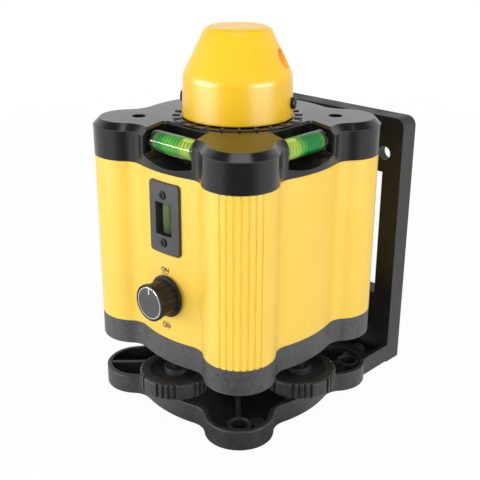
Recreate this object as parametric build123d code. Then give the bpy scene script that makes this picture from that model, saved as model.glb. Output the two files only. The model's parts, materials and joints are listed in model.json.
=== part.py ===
from build123d import *
import os
from math import atan, atan2, cos, degrees, radians, sin, sqrt, tan

os.makedirs("parts", exist_ok=True)

# Every size is in millimetres. The rotor turns about Z, the standing plane is z = 0,
# the knob and the plumb window face -Y, the wall bracket stands on the +Y side.

# Plan outline shared by the base, the body and the cap
lobe_reach = 76.0
lobe_radius = 18.8
side_reach = 55.0
side_radius = 71.0
valley_radius = 11.0

# Fits shared by the pieces
run_clear = 0.05
seat_clear = 0.1
free_gap = 0.3

# Base tray
tray_underside = 0.8
tray_height = 11.0
tray_rim = tray_underside + tray_height
tray_inset = 0.4
tray_wall = 2.6
tray_floor = 2.4
tray_edge = 0.6
hub_radius = 18.5
hub_top = 16.0
ring_boss_reach = 66.0
ring_boss_radius = 6.4
ring_boss_wall = 1.5
ring_boss_drop = 0.8
side_boss_x = 51.4
side_boss_y = -38.3
side_boss_radius = 3.6
side_boss_drop = 1.4
tray_rib_width = 2.4
tray_rib_drop = 2.0
plain_rib_drop = 0.5
foot_pad_radius = 7.0
foot_pad_recess = 1.0

# Tripod insert
insert_radius = 10.0
insert_flange_radius = 13.0
insert_flange = 3.0
thread_radius = 6.85
thread_depth = 12.5

# Wall bracket
bracket_half = 54.0
bracket_front = 77.0
bracket_depth = 12.0
bracket_back = bracket_front + bracket_depth
bracket_top = 151.8
bracket_corner = 5.5
bracket_skin = 3.0
bracket_rim = 2.5
window_half = 41.8
window_low = 43.0
window_high = 119.3
wall_hole_x = 42.2
wall_hole_z = 130.5
wall_hole_radius = 4.0
wall_boss_radius = 7.5
wall_boss_depth = 6.5
bracket_boss_radius = 4.4
bracket_boss_length = 8.5
bracket_screw_z = 7.2

# Plain screws
screw_head_edge = 0.4
drive_width = 0.7
drive_depth = 0.7
drive_margin = 0.8
small_shank = 1.2
small_head = 2.3
small_head_height = 1.7
main_shank = 1.5
main_head = 3.0
main_head_height = 2.4
port_screw_grip = 12.0
chassis_screw_grip = 10.0
cover_head_sunk = 1.2

# Levelling wheels
wheel_inset = 7.5
wheel_radius = 20.0
wheel_rib_rise = 1.4
wheel_root = wheel_radius - wheel_rib_rise
wheel_low = 17.0
wheel_height = 9.0
wheel_high = wheel_low + wheel_height
wheel_edge = 0.9
wheel_pads = 6
wheel_phases = (30.0, -15.5)
pad_half_angle = 13.0
rim_rib_angles = (21.0, 30.0, 39.0)
rim_rib_half_angle = 2.2
rim_flank_angle = 0.8
wheel_dish_radius = 14.5
wheel_dish_depth = 1.6
collar_radius = 6.5
collar_rise = 1.5
collar_top = wheel_high + collar_rise
stud_radius = 3.0
stud_top_rise = 2.5
stud_tip = 0.8
stud_flange_radius = 5.0
stud_flange_rise = 0.2
stud_flange = 2.2
stud_boss_radius = 7.0
nut_radius = 5.5
nut_bore = 4.0
nut_boss_radius = 7.0
nut_drop = 1.5

# Two-way pivot
pivot_z = 35.0
pivot_pin = 3.0
pivot_half = 5.5
pivot_side_gap = 0.5
pivot_arm = 5.5
pivot_arm_in = pivot_half + pivot_side_gap
pivot_arm_out = pivot_arm_in + pivot_arm
pivot_arm_half = 4.5
post_flange_radius = 18.0
post_flange = 3.0
post_column_radius = 12.5
post_column_gap = 2.0
post_screw_reach = 15.2
post_screw_length = 10.0
yoke_radius = 14.0
yoke_gap = 1.5
yoke_flange = 3.0
yoke_screw_reach = 11.5

# Body levels and walls
cover_low = 33.6
cover_height = 13.9
shell_length = 91.4
cap_height = 19.3
shell_low = cover_low + cover_height
shell_high = shell_low + shell_length
cap_high = shell_high + cap_height
cover_wall = 2.5
cover_floor = 2.4
well_radius = 17.0
well_wall = 2.5
well_ceiling = 3.0
shell_wall = 2.2
port_reach = 36.8
port_radius = 4.0
port_web = 3.0
cover_column_radius = 6.0
flute_count = 7
flute_span = 65.2
flute_radius = 0.6

# Top cap
cap_overhang = 0.3
cap_chamfer = 3.5
cap_wall = 3.0
cap_roof = 3.5
cap_screw_recess = 3.75
cap_screw_seat_rise = 4.1
cap_column_radius = 6.5
cap_mouth_radius = 17.0
chassis_boss_at = 24.0
chassis_boss_radius = 4.0
recess_outer = 16.2
recess_inner = 17.7
recess_outer_back = 22.2
recess_inner_back = 9.4
recess_depth = 20.6
recess_floor_thick = 2.5
recess_trough_radius = 50.0
recess_trough_shift = 1.3
recess_corner = 2.0
recess_lip_round = 1.2
recess_wall = 2.5
recess_edge = 1.0

# Levelling vials
vial_inset = 8.5
vial_drop = 6.7
vial_radius = 5.4
vial_half = 17.3
vial_end_round = 2.6
vial_bore = 4.5
vial_bore_half = 14.4
fluid_end_round = 2.1
bubble_radius = 3.2
bubble_half = 5.2
bubble_end_round = 2.9

# Plumb window on the knob side
face_x = 3.0
bezel_shift = -0.8
bezel_x = face_x + bezel_shift
bezel_width = 21.4
bezel_height = 38.2
bezel_rise = 67.9
bezel_proud = 1.4
bezel_corner = 2.2
window_width = 11.2
window_height = 17.4
window_rise = 67.6
bezel_screw_rise = 12.65
bezel_screw_length = 7.0
bezel_head_height = 1.2
bezel_head_sunk = 0.6
bezel_edge = 0.4
wall_grasp = 3.2
sleeve_half_width = 6.9
sleeve_half_height = 9.9
sleeve_length = 10.5
plumb_inset = 4.4
plumb_radius = 4.6
plumb_half = 9.3
plumb_bore = 3.8
plumb_bore_half = 8.5
plumb_bubble = 2.4
plumb_end_round = 1.3

# Knob and speed control
knob_rise = 25.4
knob_gap = 0.7
knob_length = 12.5
skirt_height = 1.7
knob_skirt_radius = 11.3
knob_grip_back = 9.5
knob_grip_front = 9.1
knob_rim_radius = 9.9
knob_rim_length = 2.3
knob_flutes = 18
knob_flute_radius = 0.5
knob_hollow_radius = 7.2
knob_hollow_depth = 3.5
knob_face_radius = 9.2
knob_face_depth = 1.2
knob_edge = 0.3
knob_skirt_edge = 0.7
knob_face_edge = 0.6
pot_half = 8.5
pot_depth = 12.0
pot_shaft_radius = 3.0
pot_shaft_seat = 8.6
pot_shaft_end = 2.2
bushing_radius = 3.5
bushing_proud = 3.6
pot_nut_flat = 4.7
pot_nut_proud = 2.7

# Battery bay
cell_radius = 7.1
cell_length = 50.5
cell_pitch = 14.6
cell_inset = 12.6
contact_thick = 0.8
contact_half = 5.7
cell_side_gap = 0.6
cell_back_gap = 0.5
box_rise = 4.5
box_wall = 1.5
door_rise = 6.5
door_height = 51.6
door_hinge_gap = 1.0
hinge_y = 15.0
barrel_radius = 2.2
door_pin_radius = 0.9
lug_radius = 2.8
lug_height = 4.0
scoop_radius = 6.0
scoop_depth = 0.8
scoop_y = -10.7

# Chassis, spindle and drive
chassis_drop = 9.9
chassis_thick = 3.0
chassis_half = 30.0
motor_shelf_half = 13.0
motor_shelf_reach = 42.0
tower_radius = 15.0
tower_drop = 2.2
bearing_radius = 12.0
bearing_bore = 7.5
bearing_height = 5.0
bearing_step = 10.5
lower_bearing_rise = 1.0
upper_bearing_drop = 6.0
spindle_radius = 7.48
spindle_bore = 5.5
spindle_drop = 13.0
pulley_drop = 11.0
pulley_height = 6.0
pulley_lip = 0.8
driven_radius = 16.0
driver_radius = 4.5
lip_rise = 1.6
pulley_hub_radius = 9.2
belt_thick = 1.2
motor_y = 29.0
motor_radius = 10.0
motor_height = 20.0
motor_nose_radius = 3.5
motor_nose = 2.4
motor_shaft_radius = 1.5
motor_shaft_reach = 8.0
motor_screw_x = 6.6
motor_shank = 0.9
motor_head = 1.8
motor_head_height = 1.4
motor_screw_grip = 4.0

# Laser, its mount and the board
laser_radius = 7.0
laser_length = 42.0
laser_drop = 21.0
laser_lens_radius = 4.6
laser_lens_thick = 1.4
mount_ring_radius = 10.5
mount_ring_drop = 29.0
mount_ring_height = 16.0
mount_leg_gap = 2.9
mount_leg = 4.0
mount_flange_reach = 6.5
mount_half = 8.0
mount_flange = 3.0
board_inset = 13.0
board_thick = 1.6
board_half = 19.2
board_rise = 10.5
board_height = 64.0
guide_thick = 4.0
guide_grip = 2.2
guide_front = 1.2
# Each chip: centre y, centre height on the board, half width, half height, rise
board_chips = [
    (-6.0, 42.0, 5.0, 7.0, 1.8), (7.0, 26.0, 4.0, 5.0, 2.4),
    (-4.0, 14.0, 6.0, 4.0, 1.6), (8.0, 50.0, 3.0, 3.0, 4.0),
]

# Rotor
dial_overhang = 5.0
dial_inner = 20.0
dial_base = 0.5
dial_rib_high = 1.1
dial_rib_gap = 1.0
dial_rib_width = 1.1
dial_ribs = 24
dome_gap = 1.15
dome_radius = 29.4
dome_draft = 0.8
dome_wall_height = 21.65
dome_cone_height = 24.0
dome_half_angle = 26.5
dome_wall = 2.2
dome_shoulder_round = 10.0
dome_top_round = 5.0
dome_turn = 27.0
dome_screw_rise = 7.65
dome_screw_head = 3.1
dome_screw_head_rise = 2.0
dome_screw_length = 9.0
aperture_rise = 8.4
aperture_radius = 4.9
aperture_glass = 1.0
holder_rise = 2.65
holder_height = 9.0
holder_hub_radius = 9.2
holder_stop = 1.2
prism_half = 9.0
prism_height = 20.0
prism_cut = 5.4

# Positions worked out from the sizes above
lobe_centre = (lobe_reach - lobe_radius) / sqrt(2)
ring_boss_at = ring_boss_reach / sqrt(2)
wheel_reach = side_reach - wheel_inset
wheel_spots = [(0.0, -wheel_reach), (wheel_reach, 0.0)]
quarter_signs = [(1, 1), (1, -1), (-1, -1), (-1, 1)]
plain_lobe = (-1, -1)
ring_signs = [signs for signs in quarter_signs if signs != plain_lobe]
cap_screw_signs = [(1, 1), (-1, -1), (-1, 1)]
hinge_x = side_radius - side_reach - sqrt((side_radius - barrel_radius) ** 2 - hinge_y ** 2)

# Levels on the base and the pivot
wheel_boss_top = wheel_low - free_gap
stud_flange_low = tray_underside + stud_flange_rise
stud_flange_high = stud_flange_low + stud_flange
post_column_top = pivot_z - pivot_half - post_column_gap
arm_top = pivot_z + pivot_half
yoke_low = arm_top + yoke_gap
well_top = yoke_low + yoke_flange
cover_inside = cover_low + cover_floor
nut_top = shell_low - nut_drop
stud_top = shell_low + stud_top_rise

# Levels in the body
cap_ceiling = cap_high - cap_roof
cap_screw_seat = shell_high + cap_screw_seat_rise
recess_floor = shell_high + recess_floor_thick
vial_z = cap_high - vial_drop
chassis_low = shell_high - chassis_drop
chassis_high = chassis_low + chassis_thick
tower_top = cap_high - tower_drop
lower_bearing_low = chassis_low + lower_bearing_rise
upper_bearing_low = tower_top - upper_bearing_drop
spindle_low = chassis_low - spindle_drop
pulley_low = chassis_low - pulley_drop
laser_high = chassis_low - laser_drop
laser_low = laser_high - laser_length
mount_ring_high = chassis_low - mount_ring_drop
mount_ring_low = mount_ring_high - mount_ring_height
bezel_z = shell_low + bezel_rise
window_z = shell_low + window_rise
knob_z = shell_low + knob_rise
board_low = shell_low + board_rise
board_high = board_low + board_height
box_low = shell_low + box_rise
cell_low = box_low + box_wall + contact_thick
cell_high = cell_low + cell_length
box_high = cell_high + contact_thick + box_wall
door_low = shell_low + door_rise
door_high = door_low + door_height

# Levels of the rotor
dome_low = cap_high + dome_gap
dome_shoulder = dome_low + dome_wall_height
dome_top = dome_shoulder + dome_cone_height
dome_screw_z = dome_low + dome_screw_rise
aperture_z = dome_shoulder + aperture_rise
holder_low = dome_low + holder_rise
holder_high = holder_low + holder_height
dial_outer = dome_radius + dial_overhang
dial_rib_in = dome_radius + dial_rib_gap

# Depths measured from the flat of the sides
recess_back = recess_depth - side_reach
vial_y = vial_inset - side_reach
bezel_front = side_reach + bezel_proud
wall_side_depth = side_reach - wall_grasp
sleeve_depth = side_reach - sleeve_length
plumb_y = plumb_inset - side_reach
knob_base = side_reach + knob_gap
knob_front = knob_base + knob_length
pot_back = side_reach - pot_depth
pot_shaft_back = side_reach - pot_shaft_seat
pot_shaft_front = knob_front - pot_shaft_end
bushing_front = side_reach + bushing_proud
pot_nut_front = side_reach + pot_nut_proud
board_x = side_reach - board_inset
cell_front_x = cell_inset - side_reach
cell_back_x = cell_front_x + cell_pitch
box_back = -cell_back_x - cell_radius - cell_back_gap
box_half = cell_pitch / 2 + cell_radius + cell_side_gap
door_half = box_half + free_gap
mount_leg_in = driven_radius + lip_rise + mount_leg_gap
mount_leg_out = mount_leg_in + mount_leg
mount_flange_out = mount_leg_out + mount_flange_reach

centred = (Align.CENTER, Align.CENTER, Align.MIN)


def plan(grow):
    """Four-lobed outline of the body, moved outward by grow."""
    side_c = Vector(side_reach - side_radius, 0)
    lobe_c = Vector(lobe_centre, lobe_centre)
    side_r = side_radius + grow
    lobe_r = lobe_radius + grow
    valley_r = valley_radius - grow
    span = lobe_c - side_c
    reach = span.length
    along = span.normalized()
    step = ((side_r + valley_r) ** 2 - (lobe_r + valley_r) ** 2 + reach ** 2) / (2 * reach)
    rise = sqrt((side_r + valley_r) ** 2 - step ** 2)
    valley_c = side_c + along * step + Vector(along.Y, -along.X) * rise
    side_end = side_c + (valley_c - side_c) * (side_r / (side_r + valley_r))
    lobe_end = lobe_c + (valley_c - lobe_c) * (lobe_r / (lobe_r + valley_r))
    middle = (side_end + lobe_end) * 0.5 - valley_c
    valley_mid = valley_c + middle.normalized() * valley_r
    tip = lobe_c + Vector(1, 1).normalized() * lobe_r

    def swap(point):
        return Vector(point.Y, point.X)

    edges = []
    for quarter in range(4):
        turn = 90 * quarter
        arcs = [
            (Vector(side_end.X, -side_end.Y), Vector(side_reach + grow, 0), side_end),
            (side_end, valley_mid, lobe_end),
            (lobe_end, tip, swap(lobe_end)),
            (swap(lobe_end), swap(valley_mid), swap(side_end)),
        ]
        for arc in arcs:
            edges.append(ThreePointArc(*[point.rotate(Axis.Z, turn) for point in arc]))
    return make_face(edges)


def slab(grow, low, high):
    """Solid with the plan outline between two heights."""
    return Pos(0, 0, low) * extrude(plan(grow), high - low)


def post(radius, low, high, x=0.0, y=0.0):
    """Upright round bar."""
    return Pos(x, y, low) * Cylinder(radius, high - low, align=centred)


def bar_x(radius, start, end, y, z):
    """Round bar along X."""
    return Pos(start, y, z) * Rot(0, 90, 0) * Cylinder(radius, end - start, align=centred)


def bar_y(radius, start, end, x, z):
    """Round bar along Y."""
    return Pos(x, start, z) * Rot(-90, 0, 0) * Cylinder(radius, end - start, align=centred)


def block(x_low, x_high, y_low, y_high, low, high):
    """Square block between six faces."""
    size = (x_high - x_low, y_high - y_low, high - low)
    return Pos((x_low + x_high) / 2, (y_low + y_high) / 2, low) * Box(*size, align=centred)


def ring(outer, inner, low, high, x=0.0, y=0.0):
    """Upright tube."""
    return post(outer, low, high, x, y) - post(inner, low, high, x, y)


def screw(shank, head, head_height, length):
    """Round-headed cross-slot screw standing on z = 0 with its shank pointing down."""
    body = post(head, 0, head_height)
    rim = body.edges().group_by(Axis.Z)[-1]
    body = chamfer(rim, screw_head_edge)
    drive_half = head - drive_margin
    slot_half = drive_width / 2
    slot_low = head_height - drive_depth
    body -= block(-drive_half, drive_half, -slot_half, slot_half, slot_low, head_height)
    body -= block(-slot_half, slot_half, -drive_half, drive_half, slot_low, head_height)
    return body + post(shank, -length, 0)


def mirrored_to_side(piece):
    """Copy of a piece of the -Y face on the +X face."""
    return mirror(piece, Plane(origin=(0, 0, 0), z_dir=(1, 1, 0)))


def group(solids):
    """Separate solids kept in one file."""
    return Compound(children=[solid for solid in solids])


def save(piece, name):
    """One STEP file for one named piece."""
    piece.label = name
    export_step(piece, "parts/" + name + ".step")


# Base tray with its hub, stud bosses, corner rings and ribs
tray_out = slab(-tray_inset, tray_underside, tray_rim)
tray_out = chamfer(tray_out.edges().group_by(Axis.Z)[-1], tray_edge)
tray_pocket = slab(-tray_inset - tray_wall, tray_underside + tray_floor, tray_rim)
tray_fill = post(hub_radius, 0, hub_top)
for x, y in wheel_spots:
    tray_fill += post(stud_boss_radius, tray_underside, wheel_boss_top, x, y)
for sx, sy in ring_signs:
    ring_spot = (sx * ring_boss_at, sy * ring_boss_at)
    tray_fill += post(ring_boss_radius, tray_underside, tray_rim - ring_boss_drop, *ring_spot)
tray_fill += post(side_boss_radius, tray_underside, tray_rim - side_boss_drop, side_boss_x, side_boss_y)
rib_half = tray_rib_width / 2
for sx, sy in ring_signs:
    rib = block(0, ring_boss_reach, -rib_half, rib_half, tray_underside, tray_rim - tray_rib_drop)
    tray_fill += Rot(0, 0, degrees(atan2(sy, sx))) * rib
plain_reach = lobe_reach - tray_inset - tray_wall / 2
plain_rib = block(0, plain_reach, -rib_half, rib_half, tray_underside, tray_rim - plain_rib_drop)
plain_x, plain_y = plain_lobe
tray_fill += Rot(0, 0, degrees(atan2(plain_y, plain_x))) * plain_rib
base_tray = tray_out - tray_pocket + tray_fill
stud_pocket_top = stud_flange_high + free_gap
for x, y in wheel_spots:
    base_tray -= post(stud_radius + run_clear, 0, wheel_boss_top, x, y)
    base_tray -= post(stud_flange_radius + free_gap, 0, stud_pocket_top, x, y)
for sx, sy in ring_signs:
    ring_spot = (sx * ring_boss_at, sy * ring_boss_at)
    base_tray -= post(ring_boss_radius - ring_boss_wall, tray_underside + tray_floor, tray_rim, *ring_spot)
for sx, sy in quarter_signs:
    pad_x = sx * lobe_centre
    pad_y = sy * lobe_centre
    base_tray -= post(foot_pad_radius + seat_clear, 0, tray_underside + foot_pad_recess, pad_x, pad_y)
base_tray -= post(insert_radius, 0, hub_top)
base_tray -= post(insert_flange_radius, hub_top - insert_flange, hub_top)
post_screw_at = post_screw_reach / sqrt(2)
for sx, sy in quarter_signs:
    spot = (sx * post_screw_at, sy * post_screw_at)
    base_tray -= post(small_shank, hub_top - post_screw_length + post_flange, hub_top, *spot)
for side in (-1, 1):
    bracket_screw_x = side * lobe_centre
    base_tray -= bar_y(
        main_shank + run_clear, lobe_centre, lobe_centre + lobe_radius, bracket_screw_x, bracket_screw_z
    )
save(base_tray, "base_tray")

# Threaded tripod insert
tripod_insert = post(insert_radius, 0, hub_top - insert_flange)
tripod_insert += post(insert_flange_radius, hub_top - insert_flange, hub_top)
tripod_insert -= post(thread_radius, 0, thread_depth)
save(tripod_insert, "tripod_insert")

# Rubber feet
base_feet = []
for sx, sy in quarter_signs:
    pad_spot = (sx * lobe_centre, sy * lobe_centre)
    base_feet.append(post(foot_pad_radius, 0, tray_underside + foot_pad_recess, *pad_spot))
save(group(base_feet), "base_feet")

# Wall bracket: upright frame, hollow from behind, on an open-topped foot
frame = block(-bracket_half, bracket_half, bracket_front, bracket_back, 0, bracket_top)
frame_corners = frame.edges().filter_by(Axis.Y).group_by(Axis.Z)[-1]
frame = fillet(frame_corners, bracket_corner)
hollow_half = bracket_half - bracket_rim
hollow_front = bracket_front + bracket_skin
hollow = block(-hollow_half, hollow_half, hollow_front, bracket_back, bracket_rim, bracket_top - bracket_rim)
hollow = fillet(hollow.edges().filter_by(Axis.Y).group_by(Axis.Z)[-1], bracket_corner - bracket_rim)
hollow -= block(
    -window_half - bracket_rim, window_half + bracket_rim, hollow_front, bracket_back,
    window_low - bracket_rim, window_high + bracket_rim,
)
for x in (-window_half / 2, 0, window_half / 2):
    hollow -= block(
        x - bracket_rim / 2, x + bracket_rim / 2, hollow_front, bracket_back,
        window_high, bracket_top,
    )
    hollow -= block(
        x - bracket_rim / 2, x + bracket_rim / 2, hollow_front, bracket_back,
        0, window_low,
    )
frame -= hollow
frame -= block(-window_half, window_half, bracket_front, bracket_back, window_low, window_high)
foot_joint = tray_wall - tray_inset
foot_rim = slab(-tray_inset + seat_clear, tray_underside, tray_rim)
foot = block(-bracket_half, bracket_half, lobe_centre, bracket_front, tray_underside, tray_rim) - foot_rim
foot_pocket = block(
    -bracket_half + tray_wall, bracket_half - tray_wall, lobe_centre, bracket_front,
    tray_underside + tray_floor, tray_rim,
)
foot_pocket -= slab(seat_clear + foot_joint, tray_underside, tray_rim)
foot -= foot_pocket
bracket_boss_start = lobe_centre + lobe_radius - tray_inset + seat_clear
for side in (-1, 1):
    foot += bar_y(
        bracket_boss_radius, bracket_boss_start + tray_wall / 2, bracket_boss_start + bracket_boss_length,
        side * lobe_centre, bracket_screw_z,
    )
wall_bracket = frame + foot
for side in (-1, 1):
    wall_bracket += bar_y(
        wall_boss_radius, bracket_front + bracket_skin / 2, bracket_front + wall_boss_depth,
        side * wall_hole_x, wall_hole_z,
    )
for side in (-1, 1):
    wall_bracket -= bar_y(wall_hole_radius, bracket_front, bracket_back, side * wall_hole_x, wall_hole_z)
    wall_bracket -= bar_y(
        main_shank, bracket_boss_start - tray_wall, bracket_boss_start + bracket_boss_length,
        side * lobe_centre, bracket_screw_z,
    )
save(wall_bracket, "wall_bracket")

# Screws through the rear wall of the tray into the bracket foot
bracket_screw_seat = lobe_centre + sqrt((lobe_radius - tray_inset - tray_wall) ** 2 - main_head ** 2)
bracket_screw_length = bracket_boss_start + bracket_boss_length - bracket_screw_seat - free_gap
bracket_screw = screw(main_shank, main_head, main_head_height, bracket_screw_length)
bracket_screws = []
for side in (-1, 1):
    screw_spot = Pos(side * lobe_centre, bracket_screw_seat, bracket_screw_z)
    bracket_screws.append(screw_spot * Rot(90, 0, 0) * bracket_screw)
save(group(bracket_screws), "bracket_screws")

# Pivot post on the hub, forked along X
post_flange_top = hub_top + post_flange
pivot_post = post(post_flange_radius, hub_top, post_flange_top)
pivot_post += post(post_column_radius, hub_top, post_column_top)
for side in (-1, 1):
    x_low, x_high = sorted((side * pivot_arm_in, side * pivot_arm_out))
    pivot_post += block(x_low, x_high, -pivot_arm_half, pivot_arm_half, hub_top, arm_top)
pivot_post -= bar_x(pivot_pin + run_clear, -pivot_arm_out, pivot_arm_out, 0, pivot_z)
for sx, sy in quarter_signs:
    spot = (sx * post_screw_at, sy * post_screw_at)
    pivot_post -= post(small_shank + run_clear, hub_top, post_flange_top, *spot)
save(pivot_post, "pivot_post")

post_screw = screw(small_shank, small_head, small_head_height, post_screw_length)
post_screws = []
for sx, sy in quarter_signs:
    post_screws.append(Pos(sx * post_screw_at, sy * post_screw_at, post_flange_top) * post_screw)
save(group(post_screws), "pivot_post_screws")

# Levelling wheels with ribbed rims, and their studs
def wheel_outline():
    """Rim of six broad pads with three narrow ribs between each pair."""
    pads = []
    for sector in range(wheel_pads):
        start = 360 * sector / wheel_pads
        pads.append((start - pad_half_angle, start + pad_half_angle))
        for middle in rim_rib_angles:
            pads.append((start + middle - rim_rib_half_angle, start + middle + rim_rib_half_angle))

    def at(radius, angle):
        return (radius * cos(radians(angle)), radius * sin(radians(angle)))

    edges = []
    for index, (start, end) in enumerate(pads):
        following = pads[(index + 1) % len(pads)][0]
        if following < end:
            following += 360
        crest = at(wheel_radius, (start + end) / 2)
        valley = at(wheel_root, (end + following) / 2)
        root_start = at(wheel_root, end + rim_flank_angle)
        root_end = at(wheel_root, following - rim_flank_angle)
        edges.append(ThreePointArc(at(wheel_radius, start), crest, at(wheel_radius, end)))
        edges.append(Line(at(wheel_radius, end), root_start))
        edges.append(ThreePointArc(root_start, valley, root_end))
        edges.append(Line(root_end, at(wheel_radius, following)))
    return make_face(edges)


wheel_blank = post(wheel_radius, wheel_low, wheel_high)
wheel_blank = chamfer(wheel_blank.edges().filter_by(GeomType.CIRCLE), wheel_edge)
wheel = (Pos(0, 0, wheel_low) * extrude(wheel_outline(), wheel_high - wheel_low)) & wheel_blank
wheel -= ring(wheel_dish_radius, collar_radius, wheel_high - wheel_dish_depth, wheel_high)
wheel += post(collar_radius, wheel_high - wheel_dish_depth, collar_top)
wheel -= post(stud_radius, wheel_low, collar_top)
stud = post(stud_radius, stud_flange_low, stud_top)
stud = chamfer(stud.edges().group_by(Axis.Z)[-1], stud_tip)
stud += post(stud_flange_radius, stud_flange_low, stud_flange_high)
for wheel_name, phase, (x, y) in zip(("front_wheel", "side_wheel"), wheel_phases, wheel_spots):
    save(Pos(x, y, 0) * Rot(0, 0, phase) * wheel, wheel_name)
    save(Pos(x, y, 0) * stud, wheel_name + "_screw")

# Gimbal block and its two crossed pins
gimbal_block = Pos(0, 0, pivot_z) * Box(2 * pivot_half, 2 * pivot_half, 2 * pivot_half)
gimbal_block -= bar_x(pivot_pin, -pivot_half, pivot_half, 0, pivot_z)
gimbal_block -= bar_y(pivot_pin, -pivot_half, pivot_half, 0, pivot_z)
save(gimbal_block, "gimbal_block")
save(bar_x(pivot_pin, -pivot_arm_out, pivot_arm_out, 0, pivot_z), "gimbal_long_pin")
short_start = pivot_pin + seat_clear
short_pins = [
    bar_y(pivot_pin, short_start, pivot_arm_out, 0, pivot_z),
    bar_y(pivot_pin, -pivot_arm_out, -short_start, 0, pivot_z),
]
save(group(short_pins), "gimbal_short_pins")

# Yoke under the body, forked along Y
yoke_screw_at = yoke_screw_reach / sqrt(2)
lug_bottom = pivot_z - pivot_half
pivot_yoke = post(yoke_radius, yoke_low, well_top)
for side in (-1, 1):
    y_low, y_high = sorted((side * pivot_arm_in, side * pivot_arm_out))
    pivot_yoke += block(-pivot_arm_half, pivot_arm_half, y_low, y_high, lug_bottom, well_top)
pivot_yoke -= bar_y(pivot_pin + run_clear, -pivot_arm_out, pivot_arm_out, 0, pivot_z)
for sx, sy in quarter_signs:
    pivot_yoke -= post(small_shank, yoke_low, well_top, sx * yoke_screw_at, sy * yoke_screw_at)
save(pivot_yoke, "pivot_yoke")

well_roof = well_top + well_ceiling
yoke_screw = screw(small_shank, small_head, small_head_height, well_ceiling + yoke_flange - free_gap)
yoke_screws = []
for sx, sy in quarter_signs:
    yoke_screws.append(Pos(sx * yoke_screw_at, sy * yoke_screw_at, well_roof) * yoke_screw)
save(group(yoke_screws), "pivot_yoke_screws")

# Bottom cover with the pivot well, nut bosses and screw columns
cover_screw_seat = cover_inside + cover_head_sunk
bottom_cover = slab(0, cover_low, shell_low) - slab(-cover_wall, cover_inside, shell_low)
bottom_cover = bottom_cover + post(well_radius + well_wall, cover_low, well_roof)
bottom_cover -= post(well_radius, cover_low, well_top)
for x, y in wheel_spots:
    bottom_cover += post(nut_boss_radius, cover_low, nut_top, x, y)
for x, y in wheel_spots:
    bottom_cover -= post(nut_radius, cover_inside, nut_top, x, y)
    bottom_cover -= post(nut_bore + free_gap, cover_low, cover_inside, x, y)
for sx, sy in quarter_signs:
    bottom_cover += post(cover_column_radius, cover_low, shell_low, sx * port_reach, sy * port_reach)
for sx, sy in quarter_signs:
    port_spot = (sx * port_reach, sy * port_reach)
    bottom_cover -= post(main_shank + run_clear, cover_low, shell_low, *port_spot)
    bottom_cover -= post(main_head + seat_clear, cover_low, cover_screw_seat, *port_spot)
    bottom_cover -= post(small_shank + run_clear, well_top, well_roof, sx * yoke_screw_at, sy * yoke_screw_at)
save(bottom_cover, "bottom_cover")

nuts = [ring(nut_radius, nut_bore, cover_inside, nut_top, x, y) for x, y in wheel_spots]
save(group(nuts), "leveling_nuts")

bottom_screw = screw(main_shank, main_head, main_head_height, shell_low + port_screw_grip - cover_screw_seat)
bottom_screws = []
for sx, sy in quarter_signs:
    port_spot = Pos(sx * port_reach, sy * port_reach, cover_screw_seat)
    bottom_screws.append(port_spot * Rot(180, 0, 0) * bottom_screw)
save(group(bottom_screws), "bottom_screws")

# Housing shell: one extrusion with four screw ports, card guides and a fluted front lobe
shell_out = slab(0, shell_low, shell_high)
shell_in = slab(-shell_wall, shell_low, shell_high)
shell_skin = shell_out - shell_in
port_diagonal = port_reach * sqrt(2)
inner_parts = []
for turn in (45, 135, 225, 315):
    web_end = lobe_reach - shell_wall / 2
    web = block(port_diagonal, web_end, -port_web / 2, port_web / 2, shell_low, shell_high)
    inner_parts.append(Rot(0, 0, turn) * (web + post(port_radius, shell_low, shell_high, port_diagonal, 0)))
for side in (-1, 1):
    y_low, y_high = sorted((side * (board_half - guide_grip), side * (board_half - guide_grip + guide_thick)))
    guide = block(board_x - guide_front, side_reach, y_low, y_high, shell_low, shell_high)
    inner_parts.append(guide & slab(-shell_wall / 2, shell_low, shell_high))
for low in (door_low - free_gap - lug_height, door_high + free_gap):
    lug = post(lug_radius, low, low + lug_height, hinge_x, hinge_y)
    inner_parts.append(lug & slab(-shell_wall / 4, shell_low, shell_high))
housing_shell = shell_skin
for piece in inner_parts:
    housing_shell += piece
for sx, sy in quarter_signs:
    housing_shell -= post(main_shank, shell_low, shell_high, sx * port_reach, sy * port_reach)
housing_shell -= block(
    board_x, board_x + board_thick, -board_half - seat_clear, board_half + seat_clear, shell_low, shell_high
)
for index in range(flute_count):
    angle = radians(-45 - flute_span / 2 + flute_span * index / (flute_count - 1))
    flute_x = lobe_centre + lobe_radius * cos(angle)
    flute_y = -lobe_centre + lobe_radius * sin(angle)
    housing_shell -= post(flute_radius, shell_low, shell_high, flute_x, flute_y)
sleeve_low = window_z - sleeve_half_height
sleeve_high = window_z + sleeve_half_height
opening_half = sleeve_half_width + seat_clear
housing_shell -= block(
    bezel_x - opening_half, bezel_x + opening_half, -lobe_reach, -sleeve_depth,
    sleeve_low - seat_clear, sleeve_high + seat_clear,
)
for side in (-1, 1):
    screw_z = window_z + side * bezel_screw_rise
    housing_shell -= bar_y(small_shank, -lobe_reach, -sleeve_depth, bezel_x, screw_z)
housing_shell -= bar_y(bushing_radius + seat_clear, -lobe_reach, -pot_back, face_x, knob_z)
housing_shell -= block(
    -lobe_reach, hinge_x + barrel_radius + free_gap,
    -door_half - free_gap, hinge_y + barrel_radius + door_hinge_gap,
    door_low - free_gap, door_high + free_gap,
)
lug_hole = lug_height - free_gap
pin_hole_low = door_low - free_gap - lug_hole
pin_hole_high = door_high + free_gap + lug_hole
housing_shell -= post(door_pin_radius + run_clear, pin_hole_low, pin_hole_high, hinge_x, hinge_y)
save(housing_shell, "housing_shell")

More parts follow.
